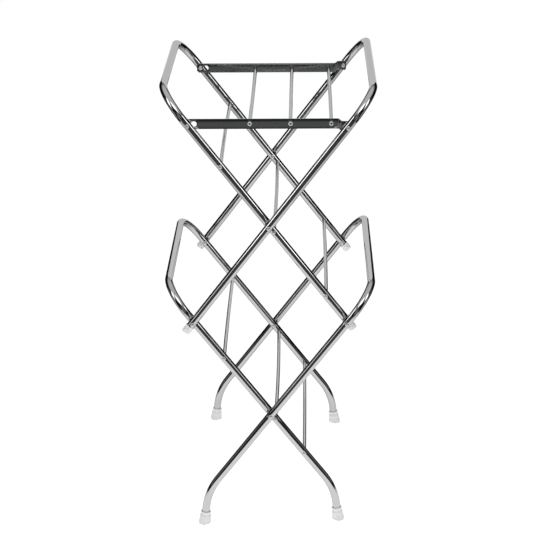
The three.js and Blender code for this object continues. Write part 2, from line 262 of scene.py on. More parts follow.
def middle(node: str) -> Vector:
    """The middle of a CAD node's box."""
    low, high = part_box(node)
    return (low + high) / 2


def layer_of(node: str) -> float:
    """How far the axes of a frame's legs are from the middle plane."""
    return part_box(node)[1].y - TUBE_RADIUS


def filleted(
    corners: Sequence[Vector], radii: Sequence[float], step: float = math.radians(3)
) -> list[Vector]:
    """A line through corners, with a round bend at each inner corner.

    Args:
        corners: The corner points, ends included.
        radii: One bend radius for each inner corner, 0 for a sharp one.
        step: The turn between two points of a bend.

    Returns:
        The points of the line.
    """
    line = [corners[0].copy()]
    for before, corner, after, radius in zip(corners, corners[1:], corners[2:], radii):
        into = (corner - before).normalized()
        out = (after - corner).normalized()
        turn = into.angle(out)
        if radius <= 0 or turn < SLIGHT_TURN:
            line.append(corner.copy())
            continue
        inward = (out - into * into.dot(out)).normalized()
        start = corner - into * radius * math.tan(turn / 2)
        count = max(3, math.ceil(turn / step))
        for i in range(count + 1):
            angle = turn * i / count
            reach = into * math.sin(angle) + inward * (1 - math.cos(angle))
            line.append(start + reach * radius)
    line.append(corners[-1].copy())
    return line


def soft_profile(points: Profile, radii: Sequence[float]) -> Profile:
    """A turned part's profile with its corners rounded.

    Args:
        points: Radius and height of each corner.
        radii: One rounding for each inner corner.

    Returns:
        The rounded profile.
    """
    corners = [Vector((r, 0, h)) for r, h in points]
    line = filleted(corners, radii, math.radians(15))
    return [(max(p.x, 0.0), p.z) for p in line]


def turned_mesh(name: str, profile: Profile, sides: int) -> bpy.types.Object:
    """A solid of revolution about Z.

    Args:
        name: The object's name.
        profile: Radius and height of each point. It ends on the axis, or where it began.
        sides: The number of faces round it.

    Returns:
        The object, with its faces outwards.
    """
    ring = profile[0] == profile[-1]
    outline = profile[:-1] if ring else profile
    points: list[tuple[float, float, float]] = []
    rows: list[list[int]] = []
    for radius, height in outline:
        count = sides if radius > MERGE_DISTANCE else 1
        rows.append(list(range(len(points), len(points) + count)))
        for i in range(count):
            angle = FULL_TURN * i / sides
            points.append((radius * math.cos(angle), radius * math.sin(angle), height))
    faces = []
    pairs = list(zip(rows, rows[1:])) + ([(rows[-1], rows[0])] if ring else [])
    for low, high in pairs:
        for i in range(sides):
            a, b = low[i % len(low)], low[(i + 1) % len(low)]
            c, d = high[(i + 1) % len(high)], high[i % len(high)]
            face = list(dict.fromkeys((a, b, c, d)))
            if len(face) > 2:
                faces.append(face)
    thing = mesh_object(name, points, faces=faces)
    face_outwards(thing.data)
    thing.data.shade_smooth()
    thing.data.set_sharp_from_angle(angle=SHARP_ANGLE)
    return thing


# ---------------------------------------------------------------- finishes
@dataclass(frozen=True)
class Finish:
    """A surface as its maker leaves it: what it is made of, and how it was worked."""

    name: str
    colour: str
    roughness: float

    def start(self, metallic: float) -> tuple[bpy.types.Material, bpy.types.Node]:
        """Makes the material with its shader's plain values.

        Args:
            metallic: 1 for a metal, 0 for anything else.

        Returns:
            The material and its Principled shader.
        """
        material = bpy.data.materials.new(self.name)
        material.use_nodes = True
        tree = material.node_tree
        tree.nodes.clear()
        shader = add_node(
            tree,
            "ShaderNodeBsdfPrincipled",
            {
                "Base Color": linear(self.colour),
                "Metallic": metallic,
                "Roughness": self.roughness,
            },
        )
        add_node(tree, "ShaderNodeOutputMaterial", {"Surface": shader.outputs["BSDF"]})
        material.diffuse_color = linear(self.colour)
        material.metallic = metallic
        material.roughness = self.roughness
        return material, shader

    def grain(
        self,
        tree: bpy.types.NodeTree,
        size_mm: float,
        stretch: Sequence[float] = (1, 1, 1),
        detail: float = 2,
    ) -> bpy.types.NodeSocket:
        """Adds a noise pattern on the piece's own coordinates.

        Args:
            tree: The material's tree.
            size_mm: The size of its features.
            stretch: How many times longer the features are along X, Y and Z.
            detail: The number of finer octaves.

        Returns:
            The noise's value.
        """
        place = add_node(tree, "ShaderNodeTexCoord").outputs["Object"]
        scaled = add_node(
            tree,
            "ShaderNodeMapping",
            {"Vector": place, "Scale": tuple(1 / s for s in stretch)},
        )
        noise = add_node(
            tree,
            "ShaderNodeTexNoise",
            {"Vector": scaled.outputs[0], "Scale": scale_of(size_mm), "Detail": detail},
        )
        return noise.outputs[0]

    def darken(
        self, tree: bpy.types.NodeTree, shader: bpy.types.Node, shade_colour: str = "1c1c1b"
    ) -> None:
        """Paints shade into the marked hollows: a dark colour stands in for the shade that falls in
        a recess.

        Args:
            tree: The material's tree.
            shader: Its Principled shader.
            shade_colour: The colour of the painted shade.
        """
        hollow = add_node(tree, "ShaderNodeAttribute", attribute_name="hollow")
        tint = add_node(
            tree,
            "ShaderNodeMix",
            {0: hollow.outputs["Fac"], 6: linear(self.colour), 7: linear(shade_colour)},
            data_type="RGBA",
        )
        tree.links.new(tint.outputs[2], shader.inputs["Base Color"])

    def spread(
        self,
        tree: bpy.types.NodeTree,
        value: bpy.types.NodeSocket,
        low: float,
        high: float,
        window: tuple[float, float] = (0.3, 0.7),
    ) -> bpy.types.NodeSocket:
        """Spreads the middle of a pattern's values over a range.

        Args:
            tree: The material's tree.
            value: The pattern.
            low: What the pattern's low values become.
            high: What its high values become.
            window: The pattern's own values that are low and high.

        Returns:
            The spread value.
        """
        return add_node(
            tree,
            "ShaderNodeMapRange",
            {
                "Value": value,
                "From Min": window[0],
                "From Max": window[1],
                "To Min": low,
                "To Max": high,
            },
        ).outputs[0]

    def bump(
        self,
        tree: bpy.types.NodeTree,
        height: bpy.types.NodeSocket,
        depth_mm: float,
        below: Optional[bpy.types.NodeSocket] = None,
    ) -> bpy.types.NodeSocket:
        """Adds relief of a real depth.

        Args:
            tree: The material's tree.
            height: The pattern.
            depth_mm: How deep the relief is.
            below: A coarser relief's normal that this one lies on.

        Returns:
            The new normal.
        """
        inputs = {"Height": height, "Distance": depth_mm * MM, "Strength": 1.0}
        if below is not None:
            inputs["Normal"] = below
        return add_node(tree, "ShaderNodeBump", inputs).outputs[0]


@dataclass(frozen=True)
class ChromePlate(Finish):
    """Bright chromium over polished steel, electroplated.

    It mirrors sharply. The tube's drawing leaves a long faint ripple that makes the edges of
    reflections waver, handling leaves patches of haze, and the polishing wheel leaves fine rings.
    """

    haze: float = 0.05
    haze_mm: float = 34
    ripple_mm: float = 26
    ripple_depth_mm: float = 0.035
    peel_mm: float = 1.8
    peel_depth_mm: float = 0.0012
    rings: bool = True
    ring_mm: float = 0.9
    ring_depth_mm: float = 0.0012
    rim: str = "d2d2d2"

    def material(self) -> bpy.types.Material:
        """Builds the material.

        Returns:
            The material.
        """
        made, shader = self.start(1.0)
        shader.inputs["Specular Tint"].default_value = linear(self.rim)
        tree = made.node_tree
        patches = self.grain(tree, self.haze_mm, detail=4)
        haze = self.spread(tree, patches, self.roughness, self.roughness + self.haze)
        tree.links.new(haze, shader.inputs["Roughness"])
        ripple = self.grain(tree, self.ripple_mm, detail=0)
        normal = self.bump(tree, ripple, self.ripple_depth_mm)
        peel = self.grain(tree, self.peel_mm, detail=1)
        normal = self.bump(tree, peel, self.peel_depth_mm, normal)
        if self.rings:
            # The wheel's rings are about 0.1 mm apart, and are drawn at 0.9 mm so that they show.
            along = add_node(tree, "ShaderNodeAttribute", attribute_name="along")
            rings = add_node(
                tree,
                "ShaderNodeTexNoise",
                {"W": along.outputs["Fac"], "Scale": scale_of(self.ring_mm), "Detail": 1.0},
                noise_dimensions="1D",
            )
            normal = self.bump(tree, rings.outputs[0], self.ring_depth_mm, normal)
        tree.links.new(normal, shader.inputs["Normal"])
        return made


@dataclass(frozen=True)
class PolishedStrip(Finish):
    """Cold-rolled flat steel, polished lengthwise and plated.

    It mirrors, with a soft drag of the reflections across the lines of the polishing belt, and the
    flat faces roll a little along their length.
    """

    haze: float = 0.06
    haze_mm: float = 46
    line_mm: float = 0.5
    line_stretch: float = 120
    line_depth_mm: float = 0.0009
    roll_mm: float = 42
    roll_depth_mm: float = 0.16

    def material(self) -> bpy.types.Material:
        """Builds the material.

        Returns:
            The material.
        """
        made, shader = self.start(1.0)
        tree = made.node_tree
        cloud = self.grain(tree, self.haze_mm, (2.5, 1, 1), 3)
        rough = self.spread(tree, cloud, self.roughness, self.roughness + self.haze)
        tree.links.new(rough, shader.inputs["Roughness"])
        normal = self.bump(tree, self.grain(tree, self.roll_mm, (1, 1, 2), 1), self.roll_depth_mm)
        # The belt's lines are about 0.05 mm apart, and are drawn at 0.5 mm so that they show.
        lines = self.grain(tree, self.line_mm, (self.line_stretch, 1, 1), 2)
        normal = self.bump(tree, lines, self.line_depth_mm, normal)
        tree.links.new(normal, shader.inputs["Normal"])
        # Painted shade: the marked punch mark's hollow is coloured dark.
        self.darken(tree, shader)
        return made


@dataclass(frozen=True)
class HeadedSteel(Finish):
    """Bright-plated steel wire, cold headed into rivets, pins and screws.

    It is duller than the tube, as zinc's crystals scatter some of the light, and the heads have
    faint tool marks.
    """

    sheen: float = 0.7
    haze: float = 0.12
    mark_mm: float = 0.9
    mark_depth_mm: float = 0.008

    def material(self) -> bpy.types.Material:
        """Builds the material.

        Returns:
            The material.
        """
        made, shader = self.start(self.sheen)
        tree = made.node_tree
        marks = self.grain(tree, self.mark_mm, detail=3)
        rough = self.spread(tree, marks, self.roughness, self.roughness + self.haze)
        tree.links.new(rough, shader.inputs["Roughness"])
        tree.links.new(self.bump(tree, marks, self.mark_depth_mm), shader.inputs["Normal"])
        # Painted shade: where a part marks its hollows, as the screws' cross recesses are, the
        # colour turns dark.
        self.darken(tree, shader)
        return made


@dataclass(frozen=True)
class MouldedPolymer(Finish):
    """A polymer moulded in a steel tool, with a fine matt skin and light under the surface.

    Its colour clouds a little, and it gathers grey scuffs below a given height.
    """

    cloud: str = "ffffff"
    cloud_mm: float = 14
    scatter: float = 0.0
    scatter_mm: float = 2.0
    scatter_reach: tuple[float, float, float] = (1.0, 0.9, 0.8)
    grain_mm: float = 0.7
    grain_depth_mm: float = 0.01
    scuff: str = ""
    scuff_mm: float = 5
    scuff_height_mm: float = 6.0
    scuff_most: float = 0.6

    def material(self) -> bpy.types.Material:
        """Builds the material.

        Returns:
            The material.
        """
        made, shader = self.start(0.0)
        tree = made.node_tree
        shader.inputs["Subsurface Weight"].default_value = self.scatter
        shader.inputs["Subsurface Radius"].default_value = self.scatter_reach
        shader.inputs["Subsurface Scale"].default_value = self.scatter_mm * MM
        tint = add_node(
            tree,
            "ShaderNodeMix",
            {
                0: self.spread(tree, self.grain(tree, self.cloud_mm, detail=4), 0.0, 1.0),
                6: linear(self.colour),
                7: linear(self.cloud),
            },
            data_type="RGBA",
        ).outputs[2]
        if self.scuff:
            tint = self.scuffed(tree, tint)
        tree.links.new(tint, shader.inputs["Base Color"])
        skin = self.grain(tree, self.grain_mm, detail=2)
        rough = self.spread(tree, skin, self.roughness - 0.05, self.roughness + 0.08)
        tree.links.new(rough, shader.inputs["Roughness"])
        tree.links.new(self.bump(tree, skin, self.grain_depth_mm), shader.inputs["Normal"])
        return made

    def scuffed(
        self, tree: bpy.types.NodeTree, tint: bpy.types.NodeSocket
    ) -> bpy.types.NodeSocket:
        """Adds the grey that a foot picks up from the floor.

        Args:
            tree: The material's tree.
            tint: The clean colour.

        Returns:
            The scuffed colour.
        """
        place = add_node(tree, "ShaderNodeTexCoord").outputs["Object"]
        height = add_node(tree, "ShaderNodeSeparateXYZ", {0: place}).outputs["Z"]
        low = self.spread(tree, height, 1.0, 0.0, (0.0, self.scuff_height_mm * MM))
        marks = self.grain(tree, self.scuff_mm, detail=5)
        patches = self.spread(tree, marks, 0.0, self.scuff_most, (0.45, 0.7))
        amount = add_node(tree, "ShaderNodeMath", {0: low, 1: patches}, operation="MULTIPLY")
        return add_node(
            tree,
            "ShaderNodeMix",
            {0: amount.outputs[0], 6: tint, 7: linear(self.scuff)},
            data_type="RGBA",
        ).outputs[2]


# ---------------------------------------------------------------- geometry trees
class GeometryTree:
    """A Geometry Nodes tree with named inputs that ends in realised, finished geometry."""

    def __init__(self, name: str, **sockets: str) -> None:
        """Makes the tree's interface.

        Args:
            name: The tree's name.
            **sockets: For each input, with _ for a space, its socket type's last word.
        """
        self.tree = bpy.data.node_groups.new(name, "GeometryNodeTree")
        make = self.tree.interface.new_socket
        make("Geometry", in_out="OUTPUT", socket_type="NodeSocketGeometry")
        for label, kind in {"Geometry": "Geometry", **sockets, "Finish": "Material"}.items():
            make(label.replace("_", " "), in_out="INPUT", socket_type=f"NodeSocket{kind}")
        self.given = add_node(self.tree, "NodeGroupInput").outputs

    def add(self, kind: str, inputs: Optional[dict] = None, **settings: object) -> bpy.types.Node:
        """Adds a geometry node, or another kind by its whole name."""
        whole = kind if "Node" in kind else f"GeometryNode{kind}"
        return add_node(self.tree, whole, inputs, **settings)

    def attribute(self, name: str, kind: str) -> bpy.types.NodeSocket:
        """Reads a named attribute of the given data type."""
        return self.add("InputNamedAttribute", {"Name": name}, data_type=kind).outputs[0]

    def close(self, geometry: bpy.types.NodeSocket) -> None:
        """Realises the geometry, sets its material and joins it to the tree's output.

        Args:
            geometry: The finished shape, instances included.
        """
        real = self.add("RealizeInstances", {"Geometry": geometry})
        dressed = self.add(
            "SetMaterial", {"Geometry": real.outputs[0], "Material": self.given["Finish"]}
        )
        add_node(self.tree, "NodeGroupOutput", {"Geometry": dressed.outputs[0]})

    def apply(self, thing: bpy.types.Object, **values: object) -> bpy.types.Object:
        """Puts the tree on an object as a modifier.

        Args:
            thing: The object whose mesh feeds the tree.
            **values: The inputs' values, with _ for a space.

        Returns:
            The same object.
        """
        modifier = thing.modifiers.new(self.tree.name, "NODES")
        modifier.node_group = self.tree
        for item in self.tree.interface.items_tree:
            key = item.name.replace(" ", "_")
            if item.in_out == "INPUT" and key in values:
                modifier[item.identifier] = values[key]
        return thing


class TubeTree(GeometryTree):
    """A round tube along a line of edges, pressed in a little at its loose marker points."""

    def __init__(self) -> None:
        """Builds the tree."""
        super().__init__(
            "tube_along_path",
            Tube_Radius="Float",
            Sides="Int",
            Press_Depth="Float",
            Press_Reach="Float",
        )
        parts = self.add(
            "SeparateGeometry",
            {"Geometry": self.given["Geometry"], "Selection": self.attribute("pressed", "BOOLEAN")},
            domain="POINT",
        )
        line = self.add("MeshToCurve", {"Mesh": parts.outputs["Inverted"]})
        length = self.add("SplineParameter").outputs["Length"]
        measured = self.add(
            "StoreNamedAttribute",
            {"Geometry": line.outputs[0], "Name": "along", "Value": length},
            data_type="FLOAT",
            domain="POINT",
        )
        section = self.add(
            "CurvePrimitiveCircle",
            {"Resolution": self.given["Sides"], "Radius": self.given["Tube Radius"]},
        )
        tube = self.add(
            "CurveToMesh", {"Curve": measured.outputs[0], "Profile Curve": section.outputs[0]}
        )
        near = self.add(
            "Proximity", {0: parts.outputs["Selection"]}, target_element="POINTS"
        ).outputs["Distance"]
        press = self.add(
            "ShaderNodeMapRange",
            {
                "Value": near,
                "From Min": 0.0,
                "From Max": self.given["Press Reach"],
                "To Min": self.given["Press Depth"],
                "To Max": 0.0,
            },
            interpolation_type="SMOOTHSTEP",
        ).outputs[0]
        inward = self.add(
            "ShaderNodeVectorMath",
            {0: self.add("InputNormal").outputs[0], "Scale": self.negative(press)},
            operation="SCALE",
        ).outputs[0]
        pressed = self.add("SetPosition", {"Geometry": tube.outputs[0], "Offset": inward})
        self.close(pressed.outputs[0])

    def negative(self, value: bpy.types.NodeSocket) -> bpy.types.NodeSocket:
        """The value with its sign turned."""
        return self.add("ShaderNodeMath", {0: value, 1: -1.0}, operation="MULTIPLY").outputs[0]


class RodTree(GeometryTree):
    """A round rod along Y at each point, bowed a little, with flat capped ends."""

    def __init__(self) -> None:
        """Builds the tree."""
        super().__init__(
            "rods_between_legs",
            Rod_Radius="Float",
            Half_Length="Float",
            Steps="Int",
            Sides="Int",
        )
        reach = self.add("ShaderNodeCombineXYZ", {1: self.given["Half Length"]}).outputs[0]
        back = self.add(
            "ShaderNodeVectorMath", {0: reach, "Scale": -1.0}, operation="SCALE"
        ).outputs[0]
        line = self.add("CurvePrimitiveLine", {"Start": back, "End": reach})
        stepped = self.add(
            "ResampleCurve", {"Curve": line.outputs[0], "Count": self.given["Steps"]}
        )
        placed = self.add(
            "InstanceOnPoints",
            {"Points": self.given["Geometry"], "Instance": stepped.outputs[0]},
        )
        loose = self.add("RealizeInstances", {"Geometry": placed.outputs[0]})
        share = self.add("SplineParameter").outputs["Factor"]
        centred = self.math("MULTIPLY_ADD", share, 2.0, -1.0)
        arch = self.math("SUBTRACT", 1.0, self.math("MULTIPLY", centred, centred))
        bow = self.add(
            "ShaderNodeVectorMath",
            {0: self.attribute("bow", "FLOAT_VECTOR"), "Scale": arch},
            operation="SCALE",
        ).outputs[0]
        bowed = self.add("SetPosition", {"Geometry": loose.outputs[0], "Offset": bow})
        section = self.add(
            "CurvePrimitiveCircle",
            {"Resolution": self.given["Sides"], "Radius": self.given["Rod Radius"]},
        )
        rod = self.add(
            "CurveToMesh",
            {
                "Curve": bowed.outputs[0],
                "Profile Curve": section.outputs[0],
                "Fill Caps": True,
            },
        )
        self.close(rod.outputs[0])

    def math(self, operation: str, *values: object) -> bpy.types.NodeSocket:
        """The result of one sum on numbers or sockets."""
        inputs = dict(enumerate(values))
        return self.add("ShaderNodeMath", inputs, operation=operation).outputs[0]


class FastenerTree(GeometryTree):
    """One part set out at every point, its axis along the point's aim, turned at random."""

    def __init__(self) -> None:
        """Builds the tree."""
        super().__init__("parts_set_out", Part="Object", Turn_Spread="Float", Seed="Int")
        part = self.add("ObjectInfo", {"Object": self.given["Part"]}).outputs["Geometry"]
        aimed = self.add(
            "FunctionNodeAlignRotationToVector",
            {"Vector": self.attribute("aim", "FLOAT_VECTOR")},
            axis="Z",
        ).outputs[0]
        turn = self.add(
            "FunctionNodeRandomValue",
            {2: 0.0, 3: self.given["Turn Spread"], "Seed": self.given["Seed"]},
            data_type="FLOAT",
        ).outputs[1]
        about_axis = self.add(
            "FunctionNodeAxisAngleToRotation", {"Axis": (0, 0, 1), "Angle": turn}
        ).outputs[0]
        rotation = self.add(
            "FunctionNodeRotateRotation",
            {"Rotation": aimed, "Rotate By": about_axis},
            rotation_space="LOCAL",
        ).outputs[0]
        placed = self.add(
            "InstanceOnPoints",
            {"Points": self.given["Geometry"], "Instance": part, "Rotation": rotation},
        )
        self.close(placed.outputs[0])


@dataclass
class Workshop:
    """The trees and finishes that the rack's parts share."""

    tube: TubeTree = field(default_factory=TubeTree)
    rod: RodTree = field(default_factory=RodTree)
    fastener: FastenerTree = field(default_factory=FastenerTree)
    # Bright chromium on drawn steel tube: a clean grey mirror, sharp enough to show every edge.
    chromed_tube: bpy.types.Material = field(
        default_factory=lambda: ChromePlate(
            "bright_chrome_plate", "c7c7c7", roughness=0.02, haze=0.03
        ).material()
    )
    # The same plate on drawn rod, which isn't polished first: softer and a little rippled.
    chromed_rod: bpy.types.Material = field(
        default_factory=lambda: ChromePlate(
            "chromed_drawn_rod",
            "c5c5c4",
            roughness=0.1,
            haze=0.08,
            ripple_mm=14,
            ripple_depth_mm=0.03,
            peel_depth_mm=0.003,
            rings=False,
        ).material()
    )
    # Plated flat steel: a darker, slightly brushed mirror.
    strip: bpy.types.Material = field(
        default_factory=lambda: PolishedStrip(
            "polished_plated_strip", "bfc1c2", roughness=0.1
        ).material()
    )
    # Headed rivet wire: a soft metal shine.
    rivet: bpy.types.Material = field(
        default_factory=lambda: HeadedSteel(
            "cold_headed_rivet_steel", "ced0d0", roughness=0.24
        ).material()
    )
    # Zinc-plated screws: paler and duller than the rivets.
    screw: bpy.types.Material = field(
        default_factory=lambda: HeadedSteel(
            "bright_zinc_screw_steel", "e0e1e2", roughness=0.3, sheen=0.45
        ).material()
    )
    # Undyed polyethylene, moulded: waxy and milky, with light under its surface.
    cap: bpy.types.Material = field(
        default_factory=lambda: MouldedPolymer(
            "natural_polyethylene_cap",
            "e6e8e7",
            roughness=0.34,
            cloud="f1f2f1",
            scatter=0.35,
            scatter_mm=3.0,
            grain_mm=0.9,
            grain_depth_mm=0.006,
        ).material()
    )
    # White moulded rubber: matt, with grey scuffs near the floor.
    rubber: bpy.types.Material = field(
        default_factory=lambda: MouldedPolymer(
            "white_moulded_rubber",
            "e4e4e2",
            roughness=0.52,
            cloud="eeeeec",
            scatter=0.15,
            scatter_mm=1.5,
            grain_mm=0.6,
            grain_depth_mm=0.014,
            scuff="9c9a96",
        ).material()
    )
    # Undyed nylon, moulded: ivory and half matt.
    nylon: bpy.types.Material = field(
        default_factory=lambda: MouldedPolymer(
            "natural_nylon_washer",
            "dedcd4",
            roughness=0.42,
            cloud="e8e6df",
            scatter=0.25,
            scatter_mm=1.0,
            grain_mm=0.4,
            grain_depth_mm=0.004,
        ).material()
    )


# ---------------------------------------------------------------- tube frames
@dataclass
class TubeFrame:
    """One bent tube: two legs, front and rear, joined by a bar from front to rear at the top."""

    tier: Tier
    lean: Lean
    node: str
    body: str
    crossing: Vector
    fixings: Sequence[Vector]
    radius: float = TUBE_RADIUS
    wall: float = 1.2 * MM
    bar_bend: float = 80 * MM
    tail: float = 320 * MM
    foot_offset: float = FOOT_OFFSET
    foot_lean: float = FOOT_LEAN
    foot_bend: float = 150 * MM
    foot_end: float = 7.3 * MM
    sides: int = 44
    bend_step: float = math.radians(2.5)
    coarse_step: float = 9 * MM
    fine_step: float = 1.1 * MM
    fine_margin: float = 3 * MM
    press_depth: float = 0.55 * MM
    press_reach: float = 8.5 * MM

    def leg_corners(self) -> list[Vector]:
        """The corners of one leg in the X-Z plane, from its foot to its bar.

        Returns:
            The leg's end, its bend if it has a foot, and the bar's axis.
        """
        low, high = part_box(self.node)
        edge = high.x - self.radius if self.lean is Lean.RIGHT else low.x + self.radius
        bar = Vector((edge, 0, high.z - self.radius))
        up = (bar - self.crossing).normalized()
        if self.tier is Tier.UPPER:
            return [self.crossing - up * self.tail, bar]
        lean = self.lean.value
        slope, foot_slope = math.tan(LEG_ANGLE), math.tan(self.foot_lean)
        knee = (self.crossing.z * slope - self.foot_offset) / (slope - foot_slope)
        along = Vector((lean * math.sin(self.foot_lean), 0, math.cos(self.foot_lean)))
        end = Vector((-lean * self.foot_offset, 0, 0)) + along * self.foot_end
        bend = Vector((-lean * (self.foot_offset - knee * foot_slope), 0, knee))
        return [end, bend, bar]

    def stations(self) -> list[Vector]:
        """The points of the tube's axis, closer together at its fixings.

        Returns:
            The points from the front leg's end, over the bar, to the rear leg's end.
        """
        layer = layer_of(self.node)
        leg = self.leg_corners()
        corners = [Vector((p.x, -layer, p.z)) for p in leg]
        corners += [Vector((p.x, layer, p.z)) for p in reversed(leg)]
        bends = [self.foot_bend] * (len(leg) - 2)
        radii = [*bends, self.bar_bend, self.bar_bend, *bends]
        line = filleted(corners, radii, self.bend_step)
        dense = [line[0]]
        for a, b in zip(line, line[1:]):
            span = (b - a).length
            travelled = 0.0
            while travelled < span:
                here = a.lerp(b, travelled / span)
                flat = Vector((here.x, 0, here.z))
                near = min((Vector((p.x, 0, p.z)) - flat).length for p in self.fixings)
                fine = near < self.press_reach + self.fine_margin
                travelled += self.fine_step if fine else self.coarse_step
                if travelled < span:
                    dense.append(a.lerp(b, travelled / span))
            dense.append(b)
        return dense

    def build(self, shop: Workshop) -> bpy.types.Object:
        """Bends the tube, presses its fixings in and gives it its wall.

        Args:
            shop: The shared trees and finishes.

        Returns:
            The finished piece.
        """
        line = self.stations()
        layer = layer_of(self.node)
        marks = [
            Vector((p.x, side.value * (layer + face * self.radius), p.z))
            for p in self.fixings
            for side in Side
            for face in (-1, 1)
        ]
        edges = [(i, i + 1) for i in range(len(line) - 1)]
        source = mesh_object(f"{self.node}_path", line + marks, edges)
        pressed = source.data.attributes.new("pressed", "BOOLEAN", "POINT")
        pressed.data.foreach_set("value", [False] * len(line) + [True] * len(marks))
        shop.tube.apply(
            source,
            Tube_Radius=self.radius,
            Sides=self.sides,
            Press_Depth=self.press_depth,
            Press_Reach=self.press_reach,
            Finish=shop.chromed_tube,
        )
        wall = source.modifiers.new("wall", "SOLIDIFY")
        wall.thickness = self.wall
        wall.offset = -1
        piece = plain_piece(source, self.node.replace("frame", "bent_tube"), shop.chromed_tube)
        return hand_over(piece, self.body, [self.node])


# ---------------------------------------------------------------- rods
@dataclass
class RodSet:
    """Round rods that run from front to rear, on one body."""

    name: str
    body: str
    nodes: Sequence[str]
    half_length: float
    bows: Sequence[tuple[float, float]]
    radius: float = 4.5 * MM
    steps: int = 40
    sides: int = 28

    def build(self, shop: Workshop) -> bpy.types.Object:
        """Cuts and sets the rods.

        Args:
            shop: The shared trees and finishes.

        Returns:
            The finished piece.
        """
        source = mesh_object(f"{self.name}_places", [middle(n) for n in self.nodes])
        bow = source.data.attributes.new("bow", "FLOAT_VECTOR", "POINT")
        bow.data.foreach_set("vector", [v for x, z in self.bows for v in (x, 0.0, z)])
        shop.rod.apply(
            source,
            Rod_Radius=self.radius,
            Half_Length=self.half_length,
            Steps=self.steps,
            Sides=self.sides,
            Finish=shop.chromed_rod,
        )
        piece = plain_piece(source, self.name, shop.chromed_rod)
        return hand_over(piece, self.body, self.nodes)


# ---------------------------------------------------------------- turned parts
def head(
    face: float,
    way: int = 1,
    dimple: float = 1.3 * MM,
    radius: float = HEAD_RADIUS,
    height: float = HEAD_HEIGHT,
) -> Profile:
    """The profile of a low round head with a small hollow in its middle.

    Args:
        face: The height of the face that it sits on.
        way: 1 for a head above its face, -1 for one below.
        dimple: The hollow's radius.
        radius: The head's radius.
        height: How far it stands proud.

    Returns:
        The points from under the rim to the axis. The rim reaches below the face, to where a
        round tube falls away under it.
    """
    skirt, hollow, pinch, steps = 0.9 * MM, 0.55 * MM, 0.75, 9
    last = math.acos(dimple / radius)
    points = [(radius, face - way * skirt)]
    for i in range(steps + 1):
        angle = last * i / steps
        points.append((radius * math.cos(angle), face + way * height * math.sin(angle)))
    bottom = points[-1][1] - way * hollow
    return [*points, (dimple * pinch, bottom), (0.0, bottom)]


def pin(inner: float, outer: float, between: Sequence[Corner] = ()) -> Profile:
    """The profile of a pin with a head at both ends, its inner one with a wider hollow.

    Args:
        inner: The height of the face under its inner head.
        outer: The height of the face under its outer head.
        between: The points of a collar.

    Returns:
        The whole profile.
    """
    low = head(inner, -1, 1.9 * MM)[::-1]
    high = head(outer)
    first = between[0][0] if between else RIVET_SHANK
    return [*low, (first, low[-1][1]), *between, (RIVET_SHANK, high[0][1]), *high]


@dataclass
class TurnedSet:
    """Turned or moulded round parts of one kind, on one body, at the front and the rear."""

    name: str
    body: str
    slot: str
    nodes: Sequence[str]
    profile: Profile
    finish: bpy.types.Material
    sides: int = 40
    seed: int = 3

    def places(self) -> list[tuple[Vector, Vector]]:
        """Where each part's own origin goes, and the way that its axis points.

        Returns:
            A place and a direction for each node.
        """
        found = []
        for node in self.nodes:
            at = middle(node)
            way = 1 if at.y > 0 else -1
            found.append((Vector((at.x, 0, at.z)), Vector((0, way, 0))))
        return found

    def blank(self) -> bpy.types.Object:
        """One part, with its axis along Z."""
        return turned_mesh(f"{self.name}_blank", self.profile, self.sides)

    def trim(self, mesh: bpy.types.Mesh) -> None:
        """Works the parts after they are in place. Most need nothing."""

    def build(self, shop: Workshop) -> bpy.types.Object:
        """Makes the part and sets it out.

        Args:
            shop: The shared trees and finishes.

        Returns:
            The finished piece.
        """
        places = self.places()
        blank = self.blank()
        source = mesh_object(f"{self.name}_places", [at for at, _ in places])
        aim = source.data.attributes.new("aim", "FLOAT_VECTOR", "POINT")
        aim.data.foreach_set("vector", [v for _, way in places for v in way])
        shop.fastener.apply(
            source, Part=blank, Turn_Spread=FULL_TURN, Seed=self.seed, Finish=self.finish
        )
        piece = plain_piece(source, self.name, self.finish)
        bpy.data.objects.remove(blank)
        self.trim(piece.data)
        return hand_over(piece, self.body, self.nodes)


@dataclass
class CrossScrewSet(TurnedSet):
    """Round-headed screws with a cross recess."""

    recess_width: float = 1.9 * MM
    recess_reach: float = 2.9 * MM
    recess_depth: float = 1.7 * MM
    recess_pinch: float = 0.55
    recess_flare: float = 1.2
    dark_share: float = 0.75

    def blank(self) -> bpy.types.Object:
        """One screw, with its recess cut.

        Returns:
            The screw, with its axis along Z.
        """
        screw = super().blank()
        top = max(height for _, height in self.profile)
        for name, x, y in (
            ("recess_across", self.recess_reach, self.recess_width / 2),
            ("recess_upright", self.recess_width / 2, self.recess_reach),
        ):
            cutter = self.wedge(name, x, y, top)
            cut = screw.modifiers.new(name, "BOOLEAN")
            cut.object = cutter
            cut.solver = "EXACT"
            screw = plain_piece(screw, f"{self.name}_blank")
            bpy.data.objects.remove(cutter)
        # Painted shade: the recess's inner part is marked, and the screw's material colours it
        # dark.
        floor = top - self.recess_depth - 0.01 * MM
        dark = self.recess_reach * self.dark_share
        mark_hollows(screw.data, lambda at: math.hypot(at.x, at.y) < dark and at.z > floor)
        return screw

    def wedge(self, name: str, x: float, y: float, top: float) -> bpy.types.Object:
        """One arm of the recess, narrower at its bottom.

        Args:
            name: The cutter's name.
            x: Its half length along X at the top.
            y: Its half length along Y at the top.
            top: The height of the head's top.

        Returns:
            The cutter.
        """
        bottom, above = top - self.recess_depth, top + 1 * MM
        points = [
            (sx * x * share, sy * y * share, z)
            for z, share in ((bottom, self.recess_pinch), (above, self.recess_flare))
            for sx, sy in ((-1, -1), (1, -1), (1, 1), (-1, 1))
        ]
        faces = [(3, 2, 1, 0), (4, 5, 6, 7)]
        faces += [(i, (i + 1) % 4, (i + 1) % 4 + 4, i + 4) for i in range(4)]
        return mesh_object(name, points, faces=faces)


